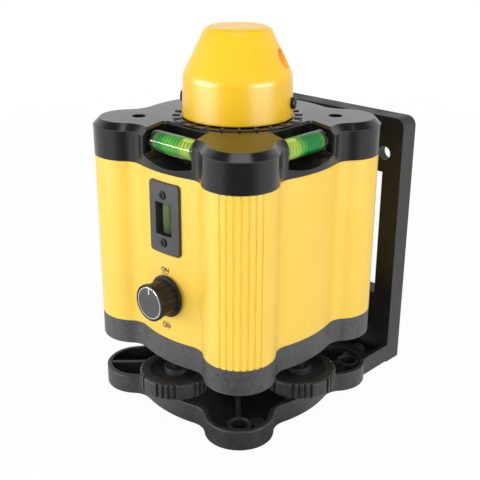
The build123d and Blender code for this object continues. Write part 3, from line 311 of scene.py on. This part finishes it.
def make_vial_marks():
    """Fine ring lines along a vial's axis, sizes in millimetres."""
    tree, given, result = group_tree(
        "vial_marks",
        [
            ("Axis", "NodeSocketVector", (1.0, 0.0, 0.0)), ("Spacing", "NodeSocketFloat", 1.5),
            ("Width", "NodeSocketFloat", 0.25),
        ],
        ["Lines", "Along"],
    )
    along = vector_step(tree, "DOT_PRODUCT", object_place(tree), given.outputs["Axis"])
    distance = calculate(tree, "DIVIDE", along, MM)
    half_spacing = calculate(tree, "DIVIDE", given.outputs["Spacing"], 2.0)
    half_width = calculate(tree, "DIVIDE", given.outputs["Width"], 2.0)
    offset = calculate(tree, "PINGPONG", distance, half_spacing)
    fill(tree, result.inputs["Lines"], calculate(tree, "LESS_THAN", offset, half_width))
    fill(tree, result.inputs["Along"], distance)
    return tree


moulded_grain = make_moulded_grain()
painted_edge_highlights = make_painted_edge_highlights()
hand_smudges = make_hand_smudges()
machined_lines = make_machined_lines()
settled_dust = make_settled_dust()
vial_marks = make_vial_marks()


# Makers of finishes
def new_finish(name):
    """Material with its shader ready for links."""
    material = bpy.data.materials.new(name)
    material.use_nodes = True
    tree = material.node_tree
    return material, tree, tree.nodes["Principled BSDF"]


def rounded_bump(tree, shader, height, depth, edge_radius):
    """Grain over edges that are softened like a real moulding, sizes in millimetres."""
    rounded = add(tree, "ShaderNodeBevel", {"samples": 4}, Radius=edge_radius * MM)
    bump = add(tree, "ShaderNodeBump", Height=height, Distance=depth * MM, Normal=rounded.outputs[0])
    fill(tree, shader.inputs["Normal"], bump.outputs[0])


def smudged_gloss(tree, shader, smudges, rough):
    """Roughness that wanders between two values."""
    fill(tree, shader.inputs["Roughness"], spread(tree, smudges.outputs["Mask"], *rough))


def moulding(
    name, colour, pale, rough, grain_size, grain_depth,
    edge=0.0, edge_highlight_tone=None, dust=0.0, mottle=8.0, edge_radius=0.35, gloss=0.5,
):
    """Moulded plastic: grained tone, softened edges with a painted highlight, smudged gloss and a little
    dust.
    """
    edge_width, edge_highlight_lift, smudge_size = 0.6, 2.2, 22.0
    material, tree, shader = new_finish(name)
    grain = use_group(tree, moulded_grain, Grain_Size=grain_size, Mottle_Size=mottle)
    shade = mix_colour(tree, grain.outputs["Tone"], colour, pale)
    # Painted highlight: outer edges lightened towards a pale tone, as if they caught the light
    if edge:
        edges = use_group(tree, painted_edge_highlights, Edge_Width=edge_width, Gain=edge)
        painted_highlight_tone = edge_highlight_tone or tuple(edge_highlight_lift * part for part in pale)
        shade = mix_colour(tree, edges.outputs["Mask"], shade, painted_highlight_tone)
    if dust:
        film = use_group(tree, settled_dust, Amount=dust)
        shade = mix_colour(tree, film.outputs["Mask"], shade, dust_grey)
    fill(tree, shader.inputs["Base Color"], shade)
    smudged_gloss(tree, shader, use_group(tree, hand_smudges, Patch_Size=smudge_size), rough)
    rounded_bump(tree, shader, grain.outputs["Height"], grain_depth, edge_radius)
    set_constants(shader, Specular_IOR_Level=gloss)
    return material


def metal(name, colour, pale, rough, stretch, line_size, metallic=1.0):
    """Bare or plated metal with fine working lines."""
    line_depth, edge_radius, smudge_size = 0.01, 0.2, 9.0
    material, tree, shader = new_finish(name)
    lines = use_group(tree, machined_lines, Stretch=stretch, Line_Size=line_size)
    fill(tree, shader.inputs["Base Color"], mix_colour(tree, lines.outputs["Tone"], colour, pale))
    smudged_gloss(tree, shader, use_group(tree, hand_smudges, Patch_Size=smudge_size), rough)
    rounded_bump(tree, shader, lines.outputs["Height"], line_depth, edge_radius)
    set_constants(shader, Metallic=metallic)
    return material


def clear_finish(name, patch_size, colour, pale, rough=None, glowing=False, **constants):
    """Glass, filter or bubble: a slightly uneven colour, plain or smudged gloss, and a painted glow if any.
    """
    material, tree, shader = new_finish(name)
    smudges = use_group(tree, hand_smudges, Patch_Size=patch_size)
    shade = mix_colour(tree, smudges.outputs["Mask"], colour, pale)
    fill(tree, shader.inputs["Base Color"], shade)
    if rough:
        smudged_gloss(tree, shader, smudges, rough)
    if glowing:
        fill(tree, shader.inputs["Emission Color"], shade)
    set_constants(shader, **constants)
    return material


# Rings, and the painted light and shade along the vial fluid, in millimetres from the bubble
ring_spacing = 2.3
ring_width = 0.75
lime_fade = 5.0
green_fade = 6.0
olive_start = 18.5
olive_end = 22.5


def vial_fluid_finish(name, axis, painted_light_centre, shades, lime_reach, green_reach, ring_strength, glow):
    """Green fluid with ring lines and painted light and shade: lime by the bubble, then green, deep green
    and olive at the far end, and a painted glow.
    """
    material, tree, shader = new_finish(name)
    lime, green, deep, olive = shades
    marks = use_group(tree, vial_marks, Axis=axis, Spacing=ring_spacing, Width=ring_width)
    middle = sum(part * place for part, place in zip(axis, painted_light_centre)) / MM
    away = calculate(tree, "ABSOLUTE", calculate(tree, "SUBTRACT", marks.outputs["Along"], middle))
    shade = lime
    for start, end, next_shade in (
        (lime_reach, lime_reach + lime_fade, green),
        (green_reach, green_reach + green_fade, deep),
        (olive_start, olive_end, olive),
    ):
        shade = mix_colour(tree, spread(tree, away, start=start, end=end), shade, next_shade)
    rings = calculate(tree, "MULTIPLY", marks.outputs["Lines"], ring_strength)
    shade = mix_colour(tree, rings, shade, ring_green)
    fill(tree, shader.inputs["Base Color"], shade)
    # Painted glow: the fluid gives off light in its own colour
    fill(tree, shader.inputs["Emission Color"], shade)
    set_constants(shader, Emission_Strength=glow, Roughness=0.4, Specular_IOR_Level=0.05)
    return material


# Bare rim and painted pointer of the knob's face plate
rim_width = 1.15 * MM
pointer_width = 1.0 * MM
pointer_start = 4.9 * MM
pointer_end = 8.3 * MM


def knob_plate_finish():
    """Dark grey face plate with a painted pointer, whose cut edge is bare bright metal."""
    material, tree, shader = new_finish("knob_plate")
    low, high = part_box("knob_face")
    centre = (low + high) / 2
    rim_start = (high.x - low.x) / 2 - rim_width
    offset = vector_step(tree, "SUBTRACT", object_place(tree), (centre.x, 0.0, centre.z))
    flat = vector_step(tree, "MULTIPLY", offset, (1.0, 0.0, 1.0))
    rim = calculate(tree, "GREATER_THAN", vector_step(tree, "LENGTH", flat), rim_start)
    spot = tree.nodes.new("ShaderNodeSeparateXYZ")
    fill(tree, spot.inputs[0], offset)
    across = calculate(tree, "ABSOLUTE", spot.outputs["X"])
    pointer = calculate(tree, "LESS_THAN", across, pointer_width / 2)
    for limit, end in (("GREATER_THAN", pointer_start), ("LESS_THAN", pointer_end)):
        pointer = calculate(tree, "MULTIPLY", pointer, calculate(tree, limit, spot.outputs["Z"], end))
    bare = calculate(tree, "SUBTRACT", rim, pointer, clamp=True)
    grain = use_group(tree, moulded_grain, Grain_Size=0.4, Mottle_Size=5.0)
    plate = mix_colour(tree, grain.outputs["Tone"], knob_grey, knob_grey_pale)
    plate = mix_colour(tree, pointer, plate, pointer_white)
    fill(tree, shader.inputs["Base Color"], mix_colour(tree, bare, plate, bare_metal))
    fill(tree, shader.inputs["Metallic"], bare)
    fill(tree, shader.inputs["Roughness"], spread(tree, bare, low=0.42, high=0.16))
    rounded_bump(tree, shader, grain.outputs["Height"], depth=0.01, edge_radius=0.1)
    return material


# Finishes, named like the slots of the record; sizes in millimetres
# Each moulding's edge value sets how strongly a painted highlight lightens its outer edges
mouldings = {
    "yellow_shell": dict(
        colour=shell_yellow_deep, pale=shell_yellow, rough=(0.36, 0.44), grain_size=1.4, grain_depth=0.012,
        mottle=30.0,
    ),
    "yellow_dome": dict(
        colour=dome_yellow_deep, pale=dome_yellow, rough=(0.27, 0.32), grain_size=2.2, grain_depth=0.0006,
        mottle=24.0, edge_radius=1.6,
    ),
    "black_plastic": dict(
        colour=cap_black, pale=cap_black_pale, rough=(0.17, 0.23), grain_size=0.9, grain_depth=0.001,
        edge=8.0, edge_highlight_tone=cap_edge_highlight_grey, mottle=18.0, edge_radius=0.8,
    ),
    "grainy_plastic": dict(
        colour=grain_grey, pale=grain_grey_pale, rough=(0.46, 0.62), grain_size=1.1, grain_depth=0.10,
        edge=2.0, dust=0.1, mottle=2.4,
    ),
    "base_plastic": dict(
        colour=base_black, pale=base_black_pale, rough=(0.44, 0.56), grain_size=1.3, grain_depth=0.06,
        edge=5.0, mottle=5.0, edge_radius=0.6,
    ),
    "plate_plastic": dict(
        colour=plate_black, pale=plate_black_pale, rough=(0.38, 0.48), grain_size=0.8, grain_depth=0.02,
        edge=1.5, mottle=10.0,
    ),
    # Darker copy of the base plastic: painted shade on the wall bracket behind the body
    "bracket_plastic": dict(
        colour=bracket_shaded_black, pale=bracket_shaded_black_pale, rough=(0.46, 0.58), grain_size=1.3, grain_depth=0.05,
        edge=3.0, mottle=6.0, edge_radius=0.6,
    ),
    "knob_black": dict(
        colour=(0.010, 0.010, 0.010), pale=(0.020, 0.019, 0.018), rough=(0.28, 0.38),
        grain_size=0.7, grain_depth=0.02, edge=2.0, gloss=0.22,
    ),
    "foot_rubber": dict(
        colour=(0.010, 0.010, 0.010), pale=(0.022, 0.022, 0.022), rough=(0.7, 0.85),
        grain_size=0.8, grain_depth=0.08,
    ),
    "belt_rubber": dict(
        colour=(0.012, 0.012, 0.012), pale=(0.026, 0.026, 0.026), rough=(0.55, 0.7),
        grain_size=0.5, grain_depth=0.04,
    ),
    "inner_plastic": dict(
        colour=(0.014, 0.014, 0.014), pale=(0.028, 0.028, 0.028), rough=(0.45, 0.6),
        grain_size=0.9, grain_depth=0.04,
    ),
    "board_green": dict(
        colour=(0.012, 0.12, 0.035), pale=(0.03, 0.22, 0.07), rough=(0.25, 0.4),
        grain_size=1.2, grain_depth=0.03, edge=2.0,
    ),
    "cell_wrap": dict(
        colour=(0.03, 0.035, 0.045), pale=(0.05, 0.055, 0.065), rough=(0.22, 0.32),
        grain_size=1.5, grain_depth=0.01, mottle=12.0,
    ),
    "print_dark": dict(
        colour=print_brown, pale=print_brown_pale, rough=(0.5, 0.6),
        grain_size=0.5, grain_depth=0.005, edge_radius=0.05,
    ),
}
metals = {
    "screw_black": dict(
        colour=(0.012, 0.012, 0.013), pale=(0.035, 0.035, 0.037), rough=(0.28, 0.42),
        stretch=(1.0, 1.0, 4.0), line_size=0.6, metallic=0.6,
    ),
    "screw_steel": dict(
        colour=(0.55, 0.56, 0.58), pale=(0.72, 0.72, 0.72), rough=(0.22, 0.38),
        stretch=(1.0, 1.0, 6.0), line_size=0.4,
    ),
    "pin_steel": dict(
        colour=(0.16, 0.16, 0.17), pale=(0.30, 0.30, 0.31), rough=(0.35, 0.50),
        stretch=(1.0, 1.0, 10.0), line_size=0.3,
    ),
    "turned_brass": dict(
        colour=(0.62, 0.42, 0.14), pale=(0.80, 0.60, 0.26), rough=(0.20, 0.36),
        stretch=(1.0, 1.0, 14.0), line_size=0.4,
    ),
    "cast_alloy": dict(
        colour=(0.42, 0.43, 0.44), pale=(0.60, 0.60, 0.61), rough=(0.42, 0.58),
        stretch=(1.0, 1.0, 1.0), line_size=1.6,
    ),
    "motor_can": dict(
        colour=(0.45, 0.46, 0.47), pale=(0.62, 0.62, 0.62), rough=(0.25, 0.4),
        stretch=(1.0, 1.0, 0.2), line_size=0.8,
    ),
    "contact_spring": dict(
        colour=(0.60, 0.60, 0.57), pale=(0.76, 0.75, 0.72), rough=(0.2, 0.34),
        stretch=(8.0, 1.0, 1.0), line_size=0.5,
    ),
}
clear_pieces = {
    "vial_clear": dict(
        patch_size=6.0, colour=glass_green, pale=glass_green_pale,
        Roughness=0.05, Transmission_Weight=1.0, IOR=1.30, Specular_IOR_Level=0.2,
    ),
    "prism_glass": dict(
        patch_size=5.0, colour=prism_blue, pale=prism_white, rough=(0.01, 0.04),
        Transmission_Weight=1.0, IOR=1.52,
    ),
    # The bubble and the orange window have a painted glow, though neither is a lamp
    "vial_bubble": dict(
        patch_size=3.0, colour=bubble_lime, pale=bubble_lime_pale, glowing=True,
        Emission_Strength=0.25, Roughness=0.2, Specular_IOR_Level=0.1,
    ),
    "window_orange": dict(
        patch_size=4.0, colour=window_red, pale=window_orange, rough=(0.28, 0.40), glowing=True,
        Emission_Strength=0.2, Specular_IOR_Level=0.12,
    ),
}
finishes = {"knob_plate": knob_plate_finish()}
finishes.update({name: clear_finish(name, **values) for name, values in clear_pieces.items()})
finishes.update({name: moulding(name, **values) for name, values in mouldings.items()})
finishes.update({name: metal(name, **values) for name, values in metals.items()})
finishes["yellow_door"] = finishes["yellow_shell"]
finishes["vial_green"] = finishes["vial_clear"]

# Solids whose finish differs a little from the rest of their slot; the bracket's darker finish is painted
# shade
own_finish = {
    "plumb_bezel": "plate_plastic", "wall_bracket": "bracket_plastic",
    "front_wheel_screw": "screw_black", "side_wheel_screw": "screw_black",
}


def dress_solids():
    """Every solid takes its own finish or the finish of its slot."""
    for part in frame["record"]["subparts"]:
        finish = own_finish.get(part["node"], part["material_slot"])
        solid = nodes[part["node"]]
        solid.data.materials.clear()
        solid.data.materials.append(finishes[finish])


# Mesh helpers
def mesh_piece(name, mesh, material):
    """Object made from a finished mesh, riding on the body."""
    piece = bpy.data.objects.new(name, mesh)
    scene.collection.objects.link(piece)
    mesh.materials.append(material)
    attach(piece, "housing")
    return piece


def turned_mesh(name, profile, centre, axis, segments=64):
    """Surface turned about an axis through centre; the profile holds (along, radius) pairs."""
    turn = Vector((0, 0, 1)).rotation_difference(Vector(axis)).to_matrix()
    shape = bmesh.new()
    rings = []
    for along, radius in profile:
        if radius <= 0:
            rings.append([shape.verts.new(Vector(centre) + turn @ Vector((0, 0, along)))])
            continue
        ring = []
        for index in range(segments):
            angle = 2 * math.pi * index / segments
            spot = turn @ Vector((radius * math.cos(angle), radius * math.sin(angle), along))
            ring.append(shape.verts.new(Vector(centre) + spot))
        rings.append(ring)
    for first, second in zip(rings, rings[1:]):
        for index in range(segments):
            follow = (index + 1) % segments
            corners = [first[index % len(first)], first[follow % len(first)]]
            corners += [second[follow % len(second)], second[index % len(second)]]
            shape.faces.new(list(dict.fromkeys(corners)))
    bmesh.ops.recalc_face_normals(shape, faces=shape.faces)
    mesh = bpy.data.meshes.new(name)
    shape.to_mesh(mesh)
    shape.free()
    mesh.polygons.foreach_set("use_smooth", [True] * len(mesh.polygons))
    return mesh


def rounded_bar(radius, half, round_end, steps=10):
    """Profile of a bar with rounded ends."""
    points = [(-half, 0.0)]
    for index in range(steps + 1):
        angle = math.pi / 2 * index / steps
        along = -half + round_end * (1 - math.cos(angle))
        points.append((along, radius - round_end * (1 - math.sin(angle))))
    return points + [(-along, reach) for along, reach in reversed(points)]


# Level vials
glass_round = 2.6 * MM
core_radius = 3.4 * MM
core_half = 14.4 * MM
core_round = 1.8 * MM
# Strength of the painted glow of the vial fluid
fluid_painted_glow = 0.25
bubble_radius = 2.1 * MM
bubble_half = 4.6 * MM
bubble_round = 1.9 * MM
bubble_rise = 1.45 * MM
bubble_drift = 9.0 * MM
hair_spread = 4.9 * MM
hair_width = 0.45 * MM
hair_proud = 0.06 * MM
hair_sunk = 0.05 * MM

# Upright vial
plumb_round = 1.3 * MM
plumb_core_radius = 3.1 * MM
plumb_core_half = 8.4 * MM
plumb_core_round = 0.9 * MM
# Height of the painted light along the upright vial's fluid
plumb_painted_light_rise = 6 * MM


def make_level_vial(name, axis, drift, lime_reach, green_reach, ring_strength):
    """Clear vial with green fluid, a bubble and two black hair lines."""
    low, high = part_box(name)
    centre = (low + high) / 2
    radius = (high.z - low.z) / 2
    half = (high - low).dot(Vector(axis)) / 2
    clear = turned_mesh(name + "_clear", rounded_bar(radius, half, glass_round), centre, axis)
    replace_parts(mesh_piece(name + "_clear", clear, finishes["vial_clear"]), name)
    drifted = centre + drift * Vector(axis)
    fluid_finish = vial_fluid_finish(
        name + "_green", axis, drifted, fluid_shades, lime_reach, green_reach, ring_strength, fluid_painted_glow
    )
    fluid = turned_mesh(name + "_core", rounded_bar(core_radius, core_half, core_round), centre, axis)
    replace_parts(mesh_piece(name + "_core", fluid, fluid_finish), name + "_fluid")
    spot = drifted + Vector((0, 0, bubble_rise))
    bubble_bar = rounded_bar(bubble_radius, bubble_half, bubble_round)
    bubble = turned_mesh(name + "_bubble", bubble_bar, spot, axis)
    mesh_piece(name + "_bubble", bubble, finishes["vial_bubble"])
    inner, outer = core_radius - hair_sunk, core_radius + hair_proud
    hair_profile = [
        (-hair_width / 2, inner), (-hair_width / 2, outer), (hair_width / 2, outer), (hair_width / 2, inner),
    ]
    for side, word in ((-1, "low"), (1, "high")):
        hair_name = name + "_hair_line_" + word
        hair = turned_mesh(hair_name, hair_profile, drifted + side * hair_spread * Vector(axis), axis)
        mesh_piece(hair_name, hair, finishes["print_dark"])


def make_plumb_vial():
    """Upright vial behind the plate's window, its fluid darkened as painted shade."""
    low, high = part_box("plumb_vial")
    centre = (low + high) / 2
    radius = (high.x - low.x) / 2
    half = (high.z - low.z) / 2
    axis = (0.0, 0.0, 1.0)
    clear = turned_mesh("plumb_vial_clear", rounded_bar(radius, half, plumb_round), centre, axis)
    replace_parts(mesh_piece("plumb_vial_clear", clear, finishes["vial_clear"]), "plumb_vial")
    painted_light_centre = centre + Vector((0, 0, plumb_painted_light_rise))
    fluid_finish = vial_fluid_finish(
        "plumb_vial_green", axis, painted_light_centre, plumb_fluid_painted_shade,
        lime_reach=4.0, green_reach=8.0, ring_strength=0.2, glow=0.0,
    )
    core_bar = rounded_bar(plumb_core_radius, plumb_core_half, plumb_core_round)
    fluid = turned_mesh("plumb_vial_core", core_bar, centre, axis)
    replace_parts(mesh_piece("plumb_vial_core", fluid, fluid_finish), "plumb_vial_fluid")


# Marks on the knob side
letter_height = 2.5 * MM
letter_share = 0.7
letter_weight = 0.13 * MM
mark_shift = -1.8 * MM
mark_rise = 0.06 * MM
line_width = 0.42 * MM
line_length = 4.2 * MM
line_end_steps = 8
on_rise = 13.9 * MM
on_line_drop = 2.1 * MM
off_rise = -18.3 * MM
off_line_lift = 2.2 * MM


def face_depth(x):
    """Y of the rounded knob side at x."""
    return side_arc - side_reach - math.sqrt(side_arc ** 2 - x ** 2)


def wrapped_on_face(name, mesh, x, z):
    """Flat mesh in local XY laid as print on the rounded knob side, centred at x and z."""
    for vertex in mesh.vertices:
        across = x + vertex.co.x
        vertex.co = Vector((across, face_depth(across) - mark_rise - vertex.co.z, z + vertex.co.y))
    shape = bmesh.new()
    shape.from_mesh(mesh)
    bmesh.ops.recalc_face_normals(shape, faces=shape.faces)
    shape.to_mesh(mesh)
    shape.free()
    mesh_piece(name, mesh, finishes["print_dark"])


def make_word(name, word, x, z):
    """One printed word on the knob side."""
    curve = bpy.data.curves.new(name, "FONT")
    curve.body = word
    curve.size = letter_height / letter_share
    curve.align_x = "CENTER"
    curve.align_y = "CENTER"
    curve.offset = letter_weight
    curve.extrude = mark_rise / 2
    holder = bpy.data.objects.new(name + "_curve", curve)
    scene.collection.objects.link(holder)
    bpy.context.view_layer.update()
    mesh = bpy.data.meshes.new_from_object(holder.evaluated_get(bpy.context.evaluated_depsgraph_get()))
    bpy.data.objects.remove(holder)
    wrapped_on_face(name, mesh, x, z)


def make_mark_line(name, x, z):
    """Short printed line with rounded ends."""
    shape = bmesh.new()
    outline = []
    for end in (1, -1):
        for index in range(line_end_steps + 1):
            angle = math.radians(-90 + 180 * index / line_end_steps)
            reach_x = end * (line_length / 2 + line_width / 2 * math.cos(angle))
            outline.append((reach_x, end * line_width / 2 * math.sin(angle)))
    bottom = [shape.verts.new((px, py, -mark_rise / 2)) for px, py in outline]
    top = [shape.verts.new((px, py, mark_rise / 2)) for px, py in outline]
    shape.faces.new(top)
    shape.faces.new(list(reversed(bottom)))
    for index in range(len(outline)):
        follow = (index + 1) % len(outline)
        shape.faces.new((bottom[index], bottom[follow], top[follow], top[index]))
    mesh = bpy.data.meshes.new(name)
    shape.to_mesh(mesh)
    shape.free()
    wrapped_on_face(name, mesh, x, z)


def make_switch_marks():
    """ON above the knob and OFF below it, each with a short line."""
    low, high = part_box("power_knob")
    x = (low.x + high.x) / 2 + mark_shift
    z = (low.z + high.z) / 2
    make_word("on_word", "ON", x, z + on_rise)
    make_mark_line("on_line", x, z + on_rise - on_line_drop)
    make_word("off_word", "OFF", x, z + off_rise)
    make_mark_line("off_line", x, z + off_rise + off_line_lift)


# Studio
room_strength = 0.5
floor_size = 8.0
floor_cuts = 4
near_whiteness = 0.96
shadow_reach = 0.35
white_reach = 1.2
strip_kept_off = ("top_cap", "dial_ring")

# Lamps: angles in degrees, distance and size in metres, power in watts
softboxes = {
    "left_softbox": dict(
        azimuth=-26.0, elevation=10.0, distance=1.2, width=1.4, height=0.4, power=6.6, mirrored=False,
    ),
    "right_softbox": dict(
        azimuth=95.0, elevation=10.0, distance=1.2, width=1.2, height=0.4, power=3.6, mirrored=False,
    ),
    "front_softbox": dict(
        azimuth=43.0, elevation=30.0, distance=1.3, width=1.0, height=0.6, power=3.4, mirrored=False,
    ),
    "top_softbox": dict(azimuth=43.0, elevation=74.0, distance=1.3, width=0.9, height=0.5, power=3.9),
    "back_softbox": dict(
        azimuth=223.0, elevation=28.0, distance=1.3, width=1.2, height=0.6, power=2.6, mirrored=False,
    ),
    "left_strip": dict(
        azimuth=-26.0, elevation=4.0, distance=1.2, width=1.1, height=0.1, power=18.0, lit=False,
        kept_off=strip_kept_off,
    ),
    "right_strip": dict(
        azimuth=95.0, elevation=4.0, distance=1.2, width=1.0, height=0.1, power=14.0, lit=False,
        kept_off=strip_kept_off,
    ),
}


def away_from_object(azimuth, elevation=0.0):
    """Direction from the object at angles in degrees."""
    turn, lift = math.radians(azimuth), math.radians(elevation)
    return Vector((math.sin(turn) * math.cos(lift), -math.cos(turn) * math.cos(lift), math.sin(lift)))


def camera_side(tree, direction):
    """Mask of the directions near the photograph's camera, where the studio is dim."""
    nearness = vector_step(tree, "DOT_PRODUCT", direction, away_from_object(camera_azimuth))
    return spread(tree, nearness, start=0.55, end=0.95)


def dark_ceiling(tree, direction):
    """Mask of the directions high overhead, where the studio is dim too."""
    height = tree.nodes.new("ShaderNodeSeparateXYZ")
    fill(tree, height.inputs[0], direction)
    return spread(tree, height.outputs["Z"], start=0.50, end=0.80)


def looking_rays(tree):
    """Mask of the rays that see the background, and of those that see it in gloss."""
    path = add(tree, "ShaderNodeLightPath")
    glossy = path.outputs["Is Glossy Ray"]
    seen = calculate(tree, "MAXIMUM", path.outputs["Is Camera Ray"], path.outputs["Is Transmission Ray"])
    return calculate(tree, "MAXIMUM", seen, glossy), glossy


def background_colour(tree, dim, glossy):
    """White, but dim in gloss where the studio is dim."""
    return mix_colour(tree, calculate(tree, "MULTIPLY", dim, glossy), backdrop_white, backdrop_dim)


def make_world():
    """Soft room light, with a white backdrop for whatever looks at it."""
    world = bpy.data.worlds.new("studio")
    scene.world = world
    world.use_nodes = True
    tree = world.node_tree
    tree.nodes.clear()
    seen, glossy = looking_rays(tree)
    direction = add(tree, "ShaderNodeTexCoord").outputs["Generated"]
    dim = calculate(tree, "MAXIMUM", camera_side(tree, direction), dark_ceiling(tree, direction))
    backdrop = add(tree, "ShaderNodeBackground", Color=background_colour(tree, dim, glossy))
    room = add(tree, "ShaderNodeBackground", Color=room_white, Strength=room_strength)
    output = tree.nodes.new("ShaderNodeOutputWorld")
    fill(tree, output.inputs["Surface"], mix_shader(tree, seen, room.outputs[0], backdrop.outputs[0]))


def make_floor():
    """Pale floor that reads as white and keeps a faint shadow."""
    bpy.ops.mesh.primitive_grid_add(x_subdivisions=floor_cuts, y_subdivisions=floor_cuts, size=floor_size)
    floor = bpy.context.object
    floor.name = "floor"
    material, tree, shader = new_finish("floor_paper")
    place = object_place(tree)
    shade = mix_colour(tree, noise(tree, place, scale=30.0, detail=3.0), floor_grey, floor_grey_pale)
    fill(tree, shader.inputs["Base Color"], shade)
    set_constants(shader, Roughness=0.9)
    seen, glossy = looking_rays(tree)
    dim = camera_side(tree, vector_step(tree, "NORMALIZE", place))
    glow = add(tree, "ShaderNodeEmission", Color=background_colour(tree, dim, glossy))
    reach = vector_step(tree, "LENGTH", place)
    whiteness = spread(tree, reach, low=near_whiteness, start=shadow_reach, end=white_reach)
    white = calculate(tree, "MULTIPLY", seen, whiteness)
    surface = mix_shader(tree, white, shader.outputs[0], glow.outputs[0])
    fill(tree, tree.nodes["Material Output"].inputs["Surface"], surface)
    floor.data.materials.append(material)


def make_softbox(
    name, azimuth, elevation, distance, width, height, power, lit=True, mirrored=True, kept_off=()
):
    """Soft lamp aimed at the middle of the object, which lights it, shows in its gloss, or both."""
    lamp = bpy.data.lights.new(name, "AREA")
    lamp.shape = "RECTANGLE"
    lamp.size = width
    lamp.size_y = height
    lamp.energy = power
    holder = bpy.data.objects.new(name, lamp)
    scene.collection.objects.link(holder)
    aim = Vector((0, 0, (cad_low[2] + cad_high[2]) / 2))
    away = away_from_object(azimuth, elevation)
    holder.location = aim + distance * away
    holder.rotation_euler = away.to_track_quat("Z", "Y").to_euler()
    holder.visible_camera = False
    holder.visible_diffuse = lit
    holder.visible_glossy = mirrored
    if kept_off:
        shaded = bpy.data.collections.new(name + "_kept_off")
        for solid in kept_off:
            shaded.objects.link(nodes[solid])
        for entry in shaded.collection_objects:
            entry.light_linking.link_state = "EXCLUDE"
        holder.light_linking.receiver_collection = shaded


def make_camera():
    """Camera at the photograph's place."""
    heading = camera_azimuth + camera_yaw
    roll = math.radians(camera_roll)
    place = camera_distance * away_from_object(camera_azimuth) + Vector((0.0, 0.0, camera_height))
    forward = -away_from_object(heading, camera_pitch)
    level = Vector((math.cos(math.radians(heading)), math.sin(math.radians(heading)), 0.0))
    upright = level.cross(forward)
    right = level * math.cos(roll) + upright * math.sin(roll)
    up = upright * math.cos(roll) - level * math.sin(roll)
    lens = bpy.data.cameras.new("camera")
    lens.sensor_width = sensor_width
    lens.lens = lens_pixels / image_pixels * sensor_width
    lens.clip_start = nearest_seen
    holder = bpy.data.objects.new("camera", lens)
    scene.collection.objects.link(holder)
    turn = Matrix((right, up, -forward)).transposed().to_4x4()
    holder.matrix_world = Matrix.Translation(place) @ turn
    scene.camera = holder


dress_solids()
make_level_vial(
    "front_vial", (1.0, 0.0, 0.0), bubble_drift, lime_reach=1.0, green_reach=13.0, ring_strength=0.65
)
make_level_vial(
    "side_vial", (0.0, 1.0, 0.0), -bubble_drift, lime_reach=1.5, green_reach=4.5, ring_strength=0.35
)
make_plumb_vial()
make_switch_marks()
make_world()
make_floor()
for softbox, values in softboxes.items():
    make_softbox(softbox, **values)
make_camera()
